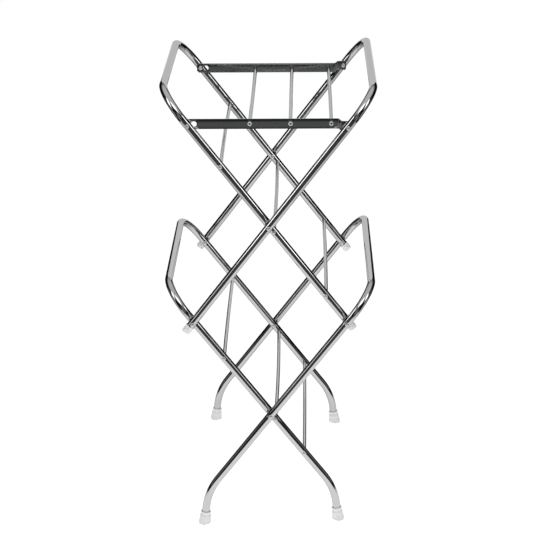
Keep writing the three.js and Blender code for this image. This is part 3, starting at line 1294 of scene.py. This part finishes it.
@dataclass
class RodEndSet(TurnedSet):
    """The thin ends of the rods, headed outside the legs at both ends."""

    def places(self) -> list[tuple[Vector, Vector]]:
        """Both ends of each rod.

        Returns:
            A place and a direction for each end.
        """
        spots = [middle(node) for node in self.nodes]
        return [
            (Vector((at.x, 0, at.z)), Vector((0, side.value, 0)))
            for at in spots
            for side in Side
        ]


@dataclass(frozen=True)
class CapShape:
    """An end cap's corners, each by its radius and its height above its mouth."""

    bore: float = TUBE_RADIUS + CLEARANCE
    socket: float = 12.8 * MM
    rim: Corner = (10.9 * MM, 0.0)
    rim_top: Corner = (10.9 * MM, 2.2 * MM)
    barrel_foot: Corner = (10.5 * MM, 2.9 * MM)
    barrel_top: Corner = (10.4 * MM, 20.8 * MM)
    roundings: tuple[float, ...] = (0.2 * MM, 0.5 * MM, 0.3 * MM, 0.3 * MM, 4.5 * MM)

    def profile(self) -> Profile:
        """The whole profile, from the socket's floor round to the top's middle.

        Returns:
            The points, with the socket's corner sharp.
        """
        floor = [(0.0, self.socket), (self.bore, self.socket)]
        outside = [self.rim, self.rim_top, self.barrel_foot, self.barrel_top]
        corners = [*floor, (self.bore, 0.0), *outside, (0.0, self.barrel_top[1])]
        soft = soft_profile(corners, [0, *self.roundings])
        return floor + [p for p in soft if p not in soft[:2]]


@dataclass(frozen=True)
class FerruleShape:
    """A foot's corners, each by its radius and its height above the floor along the leg.

    The sole starts below the floor, where a leaning foot's low side is, and is trimmed later.
    """

    bore: float = TUBE_RADIUS + CLEARANCE
    socket: float = 7 * MM
    sole: Corner = (15.2 * MM, -4 * MM)
    sole_top: Corner = (15.3 * MM, 4.5 * MM)
    collar_foot: Corner = (13.45 * MM, 13 * MM)
    collar_top: Corner = (13.4 * MM, 21 * MM)
    sleeve_foot: Corner = (12.0 * MM, 22.0 * MM)
    sleeve_top: Corner = (11.9 * MM, 29.2 * MM)
    lip_foot: Corner = (12.25 * MM, 29.7 * MM)
    lip_top: Corner = (12.1 * MM, 32 * MM)
    roundings: tuple[float, ...] = (
        0.1 * MM, 2.6 * MM, 5 * MM, 0.6 * MM, 0.6 * MM,
        0.3 * MM, 0.3 * MM, 0.5 * MM, 0.4 * MM, 0.2 * MM,
    )

    def profile(self) -> Profile:
        """The whole profile, from the sole's middle round to the socket's floor.

        Returns:
            The points.
        """
        outside = [self.sole, self.sole_top, self.collar_foot, self.collar_top]
        outside += [self.sleeve_foot, self.sleeve_top, self.lip_foot, self.lip_top]
        inside = [(self.bore, self.lip_top[1]), (self.bore, self.socket), (0.0, self.socket)]
        return soft_profile([(0.0, self.sole[1]), *outside, *inside], self.roundings)


@dataclass
class EndCapSet(TurnedSet):
    """Caps that slide over the lower ends of an upper frame's legs."""

    lean: Lean = Lean.LEFT
    crossing: Vector = field(default_factory=Vector)
    mouth: float = -307.5 * MM

    def places(self) -> list[tuple[Vector, Vector]]:
        """Each cap's mouth, and the way down the leg.

        Returns:
            A place and a direction for each node.
        """
        up = Vector((self.lean.value * math.sin(LEG_ANGLE), 0, math.cos(LEG_ANGLE)))
        at = self.crossing + up * self.mouth
        return [(Vector((at.x, middle(n).y, at.z)), -up) for n in self.nodes]


@dataclass
class FootSet(TurnedSet):
    """Rubber ferrules on a lower frame's legs, their soles level with the floor."""

    lean: Lean = Lean.LEFT
    offset: float = FOOT_OFFSET
    foot_lean: float = FOOT_LEAN

    def places(self) -> list[tuple[Vector, Vector]]:
        """Where each leg's axis meets the floor, and the way up the leg.

        Returns:
            A place and a direction for each node.
        """
        lean = self.lean.value
        up = Vector((lean * math.sin(self.foot_lean), 0, math.cos(self.foot_lean)))
        return [(Vector((-lean * self.offset, middle(n).y, 0)), up) for n in self.nodes]

    def trim(self, mesh: bpy.types.Mesh) -> None:
        """Brings every point that would be under the floor up to it."""
        for vertex in mesh.vertices:
            vertex.co.z = max(vertex.co.z, 0.0)


# ---------------------------------------------------------------- the shelf's strips
def arc(
    centre: Sequence[float], radius: float, first: float, last: float, steps: int
) -> list[Vector]:
    """Points on an arc.

    Args:
        centre: Its centre.
        radius: Its radius.
        first: The angle where it starts.
        last: The angle where it ends.
        steps: The number of steps.

    Returns:
        The points, both ends included.
    """
    angles = [first + (last - first) * i / steps for i in range(steps + 1)]
    across, up = centre
    return [Vector((across + radius * math.cos(a), up + radius * math.sin(a))) for a in angles]


def inside(loop: Sequence[Vector], at: Vector) -> bool:
    """Tells whether a point is inside a closed outline.

    Args:
        loop: The outline's points.
        at: The point.

    Returns:
        True if it is inside.
    """
    odd = False
    for a, b in zip(loop, [*loop[1:], loop[0]]):
        if (a.y > at.y) != (b.y > at.y):
            if at.x < a.x + (at.y - a.y) / (b.y - a.y) * (b.x - a.x):
                odd = not odd
    return odd


@dataclass
class StripPath:
    """A strip's middle line seen from above, and the way along it."""

    line: list[Vector]
    pivot: Vector
    lengths: list[float] = field(init=False)

    def __post_init__(self) -> None:
        """Measures the way to each point of the line."""
        steps = [(b - a).length for a, b in zip(self.line, self.line[1:])]
        self.lengths = [0.0, *accumulate(steps)]

    def unrolled(self, distance: float) -> float:
        """The way along the line of a distance from the pivot.

        Args:
            distance: The distance, positive towards the free end.

        Returns:
            The way from the line's start.
        """
        x = self.pivot.x - distance
        for i, (a, b) in enumerate(zip(self.line, self.line[1:])):
            if b.x <= x <= a.x:
                span = self.lengths[i + 1] - self.lengths[i]
                return self.lengths[i] + (a.x - x) / (a.x - b.x) * span
        raise ValueError(f"{distance} m is off the strip")

    def spot(self, along: float) -> Vector:
        """The point of the line at a way along it.

        Args:
            along: The way from the line's start.

        Returns:
            The point.
        """
        at = min(max(along, 0.0), self.lengths[-1] - 1e-9)
        i = max(k for k, length in enumerate(self.lengths) if length <= at)
        share = (at - self.lengths[i]) / (self.lengths[i + 1] - self.lengths[i])
        return self.line[i].lerp(self.line[i + 1], share)


@dataclass
class ShelfStrip:
    """One flat strip of the top shelf, from its pivot to the keyhole at its free end."""

    side: Side
    width: float = 24 * MM
    thickness: float = 2 * MM
    corner: float = 5 * MM
    joggle_start: float = 21 * MM
    joggle_run: float = 6 * MM
    bend: float = 5 * MM
    bend_step: float = math.radians(7)
    flat_step: float = 5 * MM
    tail: float = 7.5 * MM
    tail_round: float = 4 * MM
    overhang: float = 9 * MM
    keyhole_travel: float = 14.2 * MM
    keyhole_radius: float = 6.5 * MM
    keyhole_neck: float = 2.92 * MM
    pin_hole: float = 3.42 * MM
    screw_hole: float = 2.42 * MM
    punch_place: float = 164.5 * MM
    punch_radius: float = 1.2 * MM
    punch_depth: float = 1.5 * MM
    rod_places: tuple[float, float, float] = (225.5 * MM, 131.9 * MM, 38.2 * MM)
    edge_round: float = 0.7 * MM
    roll: float = 0.35 * MM
    roll_lengths: tuple[float, float] = (53 * MM, 21 * MM)
    roll_phase: float = 0.0

    def path(self) -> StripPath:
        """The strip's middle line seen from above, from past its pivot to past its free end.

        Returns:
            The line through points (x, y, 0), x falling.
        """
        low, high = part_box(f"shelf_strip_{self.side.label}")
        outer, inner = max(abs(low.y), abs(high.y)), min(abs(low.y), abs(high.y))
        end = self.side.value * (outer - self.thickness / 2)
        main = self.side.value * (inner + self.thickness / 2)
        pivot = middle(f"shelf_pivot_pin_{self.side.label}")
        corners = [
            Vector((pivot.x + self.width, end, 0)),
            Vector((pivot.x - self.joggle_start + self.joggle_run, end, 0)),
            Vector((pivot.x - self.joggle_start, main, 0)),
            Vector((low.x - self.width, main, 0)),
        ]
        line = filleted(corners, [self.bend, self.bend], self.bend_step)
        dense = [line[0]]
        for a, b in zip(line, line[1:]):
            count = max(1, math.ceil((b - a).length / self.flat_step))
            dense += [a.lerp(b, (i + 1) / count) for i in range(count)]
        return StripPath(dense, pivot)

    def loops(self, path: StripPath) -> tuple[list[Vector], list[list[Vector]]]:
        """The strip's outline and holes, unrolled flat.

        Args:
            path: The strip's middle line.

        Returns:
            The outline, and a list of holes. Points are (along, up).
        """
        half = self.width / 2
        seat = (
            middle(f"shelf_pivot_pin_{self.side.label}").x
            - middle(f"latch_stud_{self.side.label}").x
        )
        free = path.unrolled(seat + self.overhang)
        turn = path.unrolled(0.0) - self.tail + self.tail_round
        rise = half - self.tail_round
        outline = arc((turn, -rise), self.tail_round, -QUARTER_TURN, -math.pi, 8)
        outline += arc((turn, rise), self.tail_round, -math.pi, -3 * QUARTER_TURN, 8)
        outline += [
            Vector((free - self.corner, half)),
            Vector((free, half - self.corner)),
            Vector((free, self.corner - half)),
            Vector((free - self.corner, -half)),
        ]
        neck, wide = path.unrolled(seat), path.unrolled(seat - self.keyhole_travel)
        mouth = math.asin(self.keyhole_neck / self.keyhole_radius)
        holes = [
            arc((neck, 0.0), self.keyhole_neck, -QUARTER_TURN, QUARTER_TURN, 12)
            + arc((wide, 0.0), self.keyhole_radius, mouth, FULL_TURN - mouth, 36)
        ]
        drilled = [(0.0, self.pin_hole), *((p, self.screw_hole) for p in self.rod_places)]
        for place, radius in drilled:
            holes.append(arc((path.unrolled(place), 0.0), radius, 0, FULL_TURN, 20)[:-1])
        return outline, holes

    def bent(self, path: StripPath, point: Vector) -> Vector:
        """Where a point of the flat blank is once the strip is bent and has rolled a little.

        Args:
            path: The strip's middle line.
            point: The point (along, up).

        Returns:
            The place.
        """
        spot = path.spot(point.x)
        free = max(0.0, path.pivot.x - self.joggle_start - spot.x)
        ease = min(1.0, free / (40 * MM))
        long_roll, short_roll = self.roll_lengths
        wave = math.sin(free / long_roll + self.roll_phase)
        sway = self.roll * ease * (wave + 0.5 * math.sin(free / short_roll))
        return Vector((spot.x, spot.y + sway * 0.3, path.pivot.z + point.y))

    def build(self, shop: Workshop) -> bpy.types.Object:
        """Cuts the strip from its flat blank and bends it to its plan.

        Args:
            shop: The shared trees and finishes.

        Returns:
            The finished piece.
        """
        path = self.path()
        outline, holes = self.loops(path)
        points, faces = self.flat_sheet(outline, holes, path.lengths)
        source = mesh_object("strip_blank", [self.bent(path, p) for p in points], faces=faces)
        face_outwards(source.data)
        sheet = source.modifiers.new("thickness", "SOLIDIFY")
        sheet.thickness = self.thickness
        sheet.offset = 0
        sheet.use_even_offset = True
        ease = source.modifiers.new("eased_edges", "BEVEL")
        ease.width = self.edge_round
        ease.segments = 3
        ease.limit_method = "ANGLE"
        ease.angle_limit = math.radians(50)
        place = self.bent(path, Vector((path.unrolled(self.punch_place), 0)))
        punch = self.punch(place + Vector((0, self.side.value * self.thickness / 2, 0)))
        dent = source.modifiers.new("punch_mark", "BOOLEAN")
        dent.object = punch
        dent.solver = "EXACT"
        name = f"shelf_flat_strip_{self.side.label}"
        piece = plain_piece(source, name, shop.strip)
        bpy.data.objects.remove(punch)
        face_outwards(piece.data)
        # Painted shade: the punch mark's dent is marked, and the strip's material colours it dark.
        near, deep = self.punch_radius * 1.2, self.thickness * 0.35
        mark_hollows(
            piece.data,
            lambda at: math.hypot(at.x - place.x, at.z - place.z) < near
            and abs(at.y - place.y) < deep,
        )
        piece.data.set_sharp_from_angle(angle=SHARP_ANGLE)
        return hand_over(piece, "shelf", [f"shelf_strip_{self.side.label}"])

    def punch(self, place: Vector) -> bpy.types.Object:
        """The punch that marks the strip's outer face.

        Args:
            place: The mark's middle on that face.

        Returns:
            A blunt punch that points into the strip.
        """
        wide, deep = self.punch_radius, self.punch_depth
        profile = [(0.0, -deep), (wide * 0.8, -deep), (wide * 1.2, deep), (0.0, deep)]
        punch = turned_mesh("punch", profile, 20)
        turn = Vector((0, 0, 1)).rotation_difference(Vector((0, self.side.value, 0)))
        punch.data.transform(Matrix.Translation(place) @ turn.to_matrix().to_4x4())
        return punch

    def flat_sheet(
        self, outline: list[Vector], holes: list[list[Vector]], lines: Iterable[float]
    ) -> tuple[list[Vector], list[list[int]]]:
        """Triangles that fill the outline and leave the holes open.

        Args:
            outline: The strip's outline.
            holes: The holes' outlines.
            lines: Distances along the strip where the sheet needs an edge across it.

        Returns:
            The points and the triangles.
        """
        points: list[Vector] = []
        edges: list[tuple[int, int]] = []
        for loop in (outline, *holes):
            first = len(points)
            points += loop
            edges += [(first + i, first + (i + 1) % len(loop)) for i in range(len(loop))]
        low, high = min(p.x for p in outline), max(p.x for p in outline)
        for x in lines:
            if low + 1 * MM < x < high - 1 * MM:
                edges.append((len(points), len(points) + 1))
                points += [Vector((x, -self.width)), Vector((x, self.width))]
        made, _, triangles, *_ = delaunay_2d_cdt(points, edges, [], 0, MERGE_DISTANCE)
        kept = []
        for triangle in triangles:
            at = sum((made[i] for i in triangle), Vector((0.0, 0.0))) / len(triangle)
            if inside(outline, at) and not any(inside(hole, at) for hole in holes):
                kept.append(list(triangle))
        used = sorted({i for triangle in kept for i in triangle})
        index = {old: new for new, old in enumerate(used)}
        return [made[i] for i in used], [[index[i] for i in t] for t in kept]


# ---------------------------------------------------------------- studio
@dataclass(frozen=True)
class Fade:
    """A smooth change between two places along an axis."""

    places: tuple[float, float]
    levels: tuple[float, float]


@dataclass(frozen=True)
class Patch:
    """A dim round patch of the mirrored room, the same at the left and the right.

    Its way is from the rack, with X to either side, and its degrees are from that way to where it
    has faded out and to where it starts to fade.
    """

    way: tuple[float, float, float]
    degrees: tuple[float, float]
    level: float


@dataclass
class Studio:
    """A pale floor, soft light and the camera."""

    camera_place: tuple[float, float, float] = (0.0872, -4.3552, 2.0959)
    lens_mm: float = 118.06
    pitch: float = math.radians(19.885)
    yaw: float = math.radians(0.872)
    roll: float = math.radians(-0.447)
    sensor_mm: float = 36
    floor_half: float = 30.0
    floor_colour: str = "f2f2f1"
    floor_glow: float = 0.62
    paper_lift: float = 0.4 * MM
    floor_paper_half: float = 1.2
    back_paper_half: float = 0.95
    back_paper_height: float = 2.8
    paper_front: float = -1.5
    paper_back: float = 2.6
    side_reach: float = 2.25
    softbox_reach: float = 2.2
    softbox_y: float = -1.25
    softbox_height: float = 2.15
    room_level: float = 0.42
    ceiling: Fade = Fade((0.42, 0.85), (0.006, 0.7))
    patches: tuple[Patch, ...] = (
        Patch((0.0, -0.954, -0.3), (13, 6), 0.11),
        Patch((0.44, -0.9, 0.02), (9, 4), 0.11),
        Patch((0.49, -0.8, -0.35), (12, 6), 0.42),
        Patch((0.93, -0.05, -0.36), (22, 12), 0.45),
        Patch((0.06, -0.97, 0.2), (15, 7), 0.34),
    )

    def place_camera(self) -> None:
        """Stands the camera in front of the rack, above it, looking down."""
        right = Vector((math.cos(self.yaw), math.sin(self.yaw), 0))
        ahead = Vector((-math.sin(self.yaw), math.cos(self.yaw), 0))
        forward = ahead * math.cos(self.pitch) - Vector((0, 0, math.sin(self.pitch)))
        up = Vector((0, 0, math.cos(self.pitch))) + ahead * math.sin(self.pitch)
        x_axis = right * math.cos(self.roll) + up * math.sin(self.roll)
        y_axis = up * math.cos(self.roll) - right * math.sin(self.roll)
        data = bpy.data.cameras.new("camera")
        data.lens = self.lens_mm
        data.sensor_width = self.sensor_mm
        camera = bpy.data.objects.new("camera", data)
        bpy.context.scene.collection.objects.link(camera)
        turn = Matrix((x_axis, y_axis, -forward)).transposed().to_4x4()
        camera.matrix_world = Matrix.Translation(self.camera_place) @ turn
        bpy.context.scene.camera = camera

    def card(
        self, name: str, corners: Sequence[tuple[float, float, float]], glare: Glare
    ) -> bpy.types.Object:
        """A flat card of the studio.

        Args:
            name: The card's name.
            corners: Its four corners.
            glare: Whether only mirrors see it, or everything but mirrors.

        Returns:
            The card.
        """
        thing = mesh_object(name, corners, faces=[(0, 1, 2, 3)])
        mirrored = glare is Glare.MIRRORED
        thing.visible_camera = not mirrored
        thing.visible_diffuse = not mirrored
        thing.visible_transmission = not mirrored
        thing.visible_shadow = not mirrored
        thing.visible_glossy = mirrored
        return thing

    def lay_floor(self) -> None:
        """Lays the pale floor, which mirrors don't see."""
        reach = self.floor_half
        floor = self.card(
            "floor",
            [(-reach, -reach, 0), (reach, -reach, 0), (reach, reach, 0), (-reach, reach, 0)],
            Glare.PLAIN,
        )
        pale = bpy.data.materials.new("pale_floor_paint")
        pale.use_nodes = True
        tree = pale.node_tree
        tree.nodes.clear()
        paint = add_node(tree, "ShaderNodeBsdfDiffuse", {"Color": linear(self.floor_colour)})
        glow = add_node(
            tree, "ShaderNodeEmission", {"Color": linear("ffffff"), "Strength": self.floor_glow}
        )
        both = add_node(tree, "ShaderNodeAddShader", {0: paint.outputs[0], 1: glow.outputs[0]})
        add_node(tree, "ShaderNodeOutputMaterial", {"Surface": both.outputs[0]})
        floor.data.materials.append(pale)

    def paper(
        self,
        name: str,
        corners: Sequence[tuple[float, float, float]],
        level: float,
        fades: Optional[tuple[Fade, Fade]] = None,
    ) -> None:
        """A lit paper that only mirrors see.

        Args:
            name: The paper's name.
            corners: Its four corners.
            level: Its brightness.
            fades: How it fades from front to back, and from the middle to each side.
        """
        card = self.card(name, corners, Glare.MIRRORED)
        lit = bpy.data.materials.new(f"lit_{name}")
        lit.use_nodes = True
        tree = lit.node_tree
        tree.nodes.clear()
        glow = add_node(tree, "ShaderNodeEmission", {"Strength": level})
        if fades:
            depth, across = fades
            place = add_node(tree, "ShaderNodeTexCoord").outputs["Object"]
            axes = add_node(tree, "ShaderNodeSeparateXYZ", {0: place})
            offset = add_node(tree, "ShaderNodeMath", {0: axes.outputs["X"]}, operation="ABSOLUTE")
            lengthwise = self.eased(tree, axes.outputs["Y"], depth)
            sideways = self.eased(tree, offset.outputs[0], across)
            share = add_node(
                tree, "ShaderNodeMath", {0: lengthwise, 1: sideways}, operation="MULTIPLY"
            )
            bright = add_node(
                tree, "ShaderNodeMath", {0: share.outputs[0], 1: level}, operation="MULTIPLY"
            )
            tree.links.new(bright.outputs[0], glow.inputs["Strength"])
        add_node(tree, "ShaderNodeOutputMaterial", {"Surface": glow.outputs[0]})
        card.data.materials.append(lit)

    def hang_papers(self) -> None:
        """Lays a bright paper under the rack, and hangs one behind it and two at each side."""
        half, lift, near, far = (
            self.floor_paper_half, self.paper_lift, self.paper_front, self.paper_back
        )
        self.paper(
            "floor_paper",
            [(-half, near, lift), (half, near, lift), (half, far, lift), (-half, far, lift)],
            1.06,
            (Fade((-0.2, 1.0), (1.0, 0.5)), Fade((0.4, 0.9), (1.0, 0.65))),
        )
        half, top = self.back_paper_half, self.back_paper_height
        self.paper(
            "back_paper",
            [(-half, far, 0), (half, far, 0), (half, far, top), (-half, far, top)],
            1.02,
        )
        for side, x in (("left", -self.side_reach), ("right", self.side_reach)):
            for name, low, high, level in (
                ("paper", (-1.3, 0.3), (0.6, 0.98), 0.13),
                ("flag", (-1.75, 1.0), (-0.75, 1.45), 0.95),
            ):
                corners = [(x, *low), (x, high[0], low[1]), (x, *high), (x, low[0], high[1])]
                self.paper(f"{side}_{name}", corners, level)

    def soft_light(
        self,
        name: str,
        place: tuple[float, float, float],
        aim: tuple[float, float, float],
        size: tuple[float, float],
        radiance: float,
    ) -> None:
        """Hangs a softbox.

        Args:
            name: The light's name.
            place: Its middle.
            aim: The point that it faces.
            size: Its width and height.
            radiance: How bright its face is.
        """
        data = bpy.data.lights.new(name, "AREA")
        data.shape = "RECTANGLE"
        data.size, data.size_y = size
        data.energy = radiance * math.pi * size[0] * size[1]
        light = bpy.data.objects.new(name, data)
        bpy.context.scene.collection.objects.link(light)
        way = Vector(aim) - Vector(place)
        light.rotation_euler = way.to_track_quat("-Z", "Y").to_euler()
        light.location = place
        light.visible_camera = False

    def hang_lights(self) -> None:
        """Hangs a softbox on each side and a wide one overhead."""
        y, z = self.softbox_y, self.softbox_height
        for name, x in (
            ("left_softbox", -self.softbox_reach),
            ("right_softbox", self.softbox_reach),
        ):
            self.soft_light(name, (x, y, z), (0, y, z), (1.0, 1.4), 2.5)
        self.soft_light("top_softbox", (0.0, -2.4, 3.5), (0, 0, 0.6), (2.2, 1.6), 1.8)

    def paint_room(self) -> None:
        """Makes the room: white to the eye, even for matt surfaces, and dim in mirrors.

        In mirrors the room is dark, with dim patches and a paler ceiling.
        """
        world = bpy.data.worlds.new("room")
        bpy.context.scene.world = world
        world.use_nodes = True
        tree = world.node_tree
        tree.nodes.clear()
        way = add_node(tree, "ShaderNodeTexCoord").outputs["Generated"]
        height = add_node(tree, "ShaderNodeSeparateXYZ", {0: way}).outputs["Z"]
        glow = self.eased(tree, height, self.ceiling)
        axes = add_node(tree, "ShaderNodeSeparateXYZ", {0: way})
        across = add_node(tree, "ShaderNodeMath", {0: axes.outputs["X"]}, operation="ABSOLUTE")
        folded = add_node(
            tree,
            "ShaderNodeCombineXYZ",
            {"X": across.outputs[0], "Y": axes.outputs["Y"], "Z": axes.outputs["Z"]},
        ).outputs[0]
        for patch in self.patches:
            facing = add_node(
                tree, "ShaderNodeVectorMath", {0: folded, 1: patch.way}, operation="DOT_PRODUCT"
            ).outputs["Value"]
            window = tuple(math.cos(math.radians(angle)) for angle in patch.degrees)
            lit = self.eased(tree, facing, Fade(window, (0.0, patch.level)))
            glow = add_node(tree, "ShaderNodeMath", {0: glow, 1: lit}, operation="ADD").outputs[0]
        white = linear("ffffff")
        mirrored, seen, soft = (
            add_node(tree, "ShaderNodeBackground", {"Color": white, "Strength": strength})
            for strength in (glow, 1.0, self.room_level)
        )
        rays = add_node(tree, "ShaderNodeLightPath")
        unseen = add_node(
            tree,
            "ShaderNodeMixShader",
            {0: rays.outputs["Is Glossy Ray"], 1: soft.outputs[0], 2: mirrored.outputs[0]},
        )
        chosen = add_node(
            tree,
            "ShaderNodeMixShader",
            {0: rays.outputs["Is Camera Ray"], 1: unseen.outputs[0], 2: seen.outputs[0]},
        )
        add_node(tree, "ShaderNodeOutputWorld", {"Surface": chosen.outputs[0]})

    def eased(
        self,
        tree: bpy.types.NodeTree,
        value: bpy.types.NodeSocket,
        fade: Fade,
    ) -> bpy.types.NodeSocket:
        """A smooth step of a value.

        Args:
            tree: The tree.
            value: The value.
            fade: Where the step starts and ends, and the result before and after it.

        Returns:
            The stepped value.
        """
        return add_node(
            tree,
            "ShaderNodeMapRange",
            {
                "Value": value,
                "From Min": fade.places[0],
                "From Max": fade.places[1],
                "To Min": fade.levels[0],
                "To Max": fade.levels[1],
            },
            interpolation_type="SMOOTHSTEP",
        ).outputs[0]

    def build(self) -> None:
        """Sets up the whole studio."""
        bpy.context.scene.view_settings.view_transform = "Standard"
        self.place_camera()
        self.lay_floor()
        self.hang_papers()
        self.hang_lights()
        self.paint_room()
        log.info("studio: camera, floor, papers and softboxes are up")


# ---------------------------------------------------------------- the rack
def both(stem: str) -> list[str]:
    """The front and rear nodes of a pair."""
    return [f"{stem}_{side.label}" for side in Side]


@dataclass
class Rack:
    """The whole rack."""

    shop: Workshop = field(default_factory=Workshop)

    def build_frames(self) -> None:
        """Builds the four bent tube frames."""
        upper, lower = middle("upper_crossing_rivet_rear"), middle("lower_crossing_rivet_rear")
        for crossing in (upper, lower):
            crossing.y = 0
        left, right = middle("left_joint_rivet_rear"), middle("right_joint_rivet_rear")
        upper_rods = [middle(f"upper_rod_{i}") for i in (1, 2, 3)]
        lower_rods = [middle(f"lower_rod_{i}") for i in (1, 2, 3)]
        stud, hinge = middle("latch_stud_rear"), middle("shelf_pivot_pin_rear")
        for tier, lean, layer, crossing, fixings in (
            (Tier.UPPER, Lean.LEFT, "inner", upper, [upper, right, stud, *upper_rods]),
            (Tier.UPPER, Lean.RIGHT, "outer", upper, [upper, left, hinge]),
            (Tier.LOWER, Lean.LEFT, "inner", lower, [lower, left, *lower_rods]),
            (Tier.LOWER, Lean.RIGHT, "outer", lower, [lower, right]),
        ):
            body = f"{tier.value}_{layer}"
            TubeFrame(tier, lean, f"{body}_frame", body, crossing, fixings).build(self.shop)

    def build_rods(self) -> None:
        """Builds the rods between the legs, and their headed ends."""
        shop = self.shop
        layer = layer_of("upper_inner_frame")
        bite, tenon_length, tenon_radius = 1.0 * MM, 4 * MM, 2.5 * MM
        shoulder = layer - TUBE_RADIUS + bite
        face = layer + TUBE_RADIUS + CLEARANCE
        tenon = [(0.0, shoulder - tenon_length), (tenon_radius, shoulder - tenon_length)]
        tip = head(face, dimple=1.2 * MM, radius=4.5 * MM)
        profile = [*tenon, (tenon_radius, tip[0][1]), *tip]
        bows = {
            "upper": [(-1.5 * MM, 0.0), (1.8 * MM, 0.0), (1.2 * MM, 0.0)],
            "lower": [(-1.0 * MM, 0.0), (2.6 * MM, 0.0), (0.8 * MM, 0.0)],
        }
        for tier, spots in bows.items():
            nodes = [f"{tier}_rod_{i}" for i in (1, 2, 3)]
            RodSet(f"{tier}_cross_rods", f"{tier}_inner", nodes, shoulder, spots).build(shop)
            name = f"{tier}_rod_headed_ends"
            ends = RodEndSet(name, f"{tier}_inner", "rivet_steel", nodes, profile, shop.rivet)
            ends.build(shop)

    def build_pivots(self) -> None:
        """Builds the rivets and washers of the four pivots, the shelf's pins and the studs."""
        shop = self.shop
        inner, outer = layer_of("upper_inner_frame"), layer_of("upper_outer_frame")
        inside = inner - TUBE_RADIUS - CLEARANCE
        outside = outer + TUBE_RADIUS + CLEARANCE
        rivet = pin(inside, outside)
        low, high = inner + TUBE_RADIUS + CLEARANCE, outer - TUBE_RADIUS - CLEARANCE
        bore, rim, ease = 3.42 * MM, 6.5 * MM, 0.25 * MM
        washer = [
            (bore, low),
            (rim - ease, low),
            (rim, low + ease),
            (rim, high - ease),
            (rim - ease, high),
            (bore, high),
            (bore, low),
        ]
        for body, pivots in (
            ("lower_inner", ["lower_crossing", "left_joint"]),
            ("lower_outer", ["right_joint"]),
            ("upper_outer", ["upper_crossing"]),
        ):
            rivets = [n for p in pivots for n in both(f"{p}_rivet")]
            washers = [n for p in pivots for n in both(f"{p}_washer")]
            TurnedSet(f"{body}_rivets", body, "rivet_steel", rivets, rivet, shop.rivet).build(shop)
            TurnedSet(
                f"{body}_washers", body, "nylon_washer", washers, washer, shop.nylon
            ).build(shop)
        strip = ShelfStrip(Side.REAR)
        end_box, stud_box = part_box("shelf_strip_rear"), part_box("latch_stud_rear")
        hinge = pin(end_box[1].y - strip.thickness - CLEARANCE, outside)
        TurnedSet(
            "shelf_hinge_pins", "upper_outer", "rivet_steel", both("shelf_pivot_pin"), hinge,
            shop.rivet,
        ).build(shop)
        neck, collar_radius = 2.5 * MM, 4.6 * MM
        collar = end_box[0].y + strip.thickness + CLEARANCE
        stud = pin(
            stud_box[0].y + HEAD_HEIGHT,
            low,
            [
                (neck, collar),
                (collar_radius, collar),
                (collar_radius, inside),
                (RIVET_SHANK, inside),
            ],
        )
        TurnedSet(
            "latch_studs", "upper_inner", "rivet_steel", both("latch_stud"), stud, shop.rivet
        ).build(shop)

    def build_ends(self) -> None:
        """Builds the end caps of the upper frames and the feet of the lower ones."""
        shop = self.shop
        cap, foot = CapShape().profile(), FerruleShape().profile()
        crossing = middle("upper_crossing_rivet_rear")
        crossing.y = 0
        for lean, layer in ((Lean.LEFT, "inner"), (Lean.RIGHT, "outer")):
            EndCapSet(
                f"upper_{layer}_caps", f"upper_{layer}", "end_cap_plastic",
                both(f"upper_{layer}_end_cap"), cap, shop.cap, lean=lean, crossing=crossing,
            ).build(shop)
            FootSet(
                f"{layer}_ferrules", f"lower_{layer}", "foot_rubber",
                both(f"{layer}_foot"), foot, shop.rubber, sides=56, lean=lean,
            ).build(shop)

    def build_shelf(self) -> None:
        """Builds the top shelf: its strips, rods and screws."""
        shop = self.shop
        for side, phase in ((Side.FRONT, 0.4), (Side.REAR, 2.1)):
            ShelfStrip(side, roll_phase=phase).build(shop)
        rods = [f"shelf_rod_{i}" for i in (1, 2, 3)]
        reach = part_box(rods[0])[1].y
        bows = [(0.6 * MM, 0.0), (-0.4 * MM, 0.0), (0.5 * MM, 0.0)]
        RodSet("shelf_rods", "shelf", rods, reach, bows).build(shop)
        rise, shank = 1.9 * MM, 2 * MM
        face = max(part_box("shelf_rod_1_screw_rear")[1].y - rise, reach)
        dome = head(face, dimple=0.4 * MM, height=rise)
        dome = [(HEAD_RADIUS, face), *dome[1:-2], (0.0, dome[-3][1])]
        tip = reach - 3 * MM
        profile = [(0.0, tip), (shank, tip), (shank, face), *dome]
        nodes = [n for rod in rods for n in both(f"{rod}_screw")]
        CrossScrewSet(
            "shelf_cross_screws", "shelf", "screw_steel", nodes, profile, shop.screw, sides=48,
            seed=7,
        ).build(shop)

    def build(self) -> None:
        """Builds every piece of the rack in order."""
        self.build_frames()
        self.build_rods()
        self.build_pivots()
        self.build_ends()
        self.build_shelf()


def main() -> None:
    logging.basicConfig(level=logging.INFO, format="%(name)s: %(message)s")
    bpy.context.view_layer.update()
    Studio().build()
    Rack().build()
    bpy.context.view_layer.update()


if __name__ == "__main__":
    main()
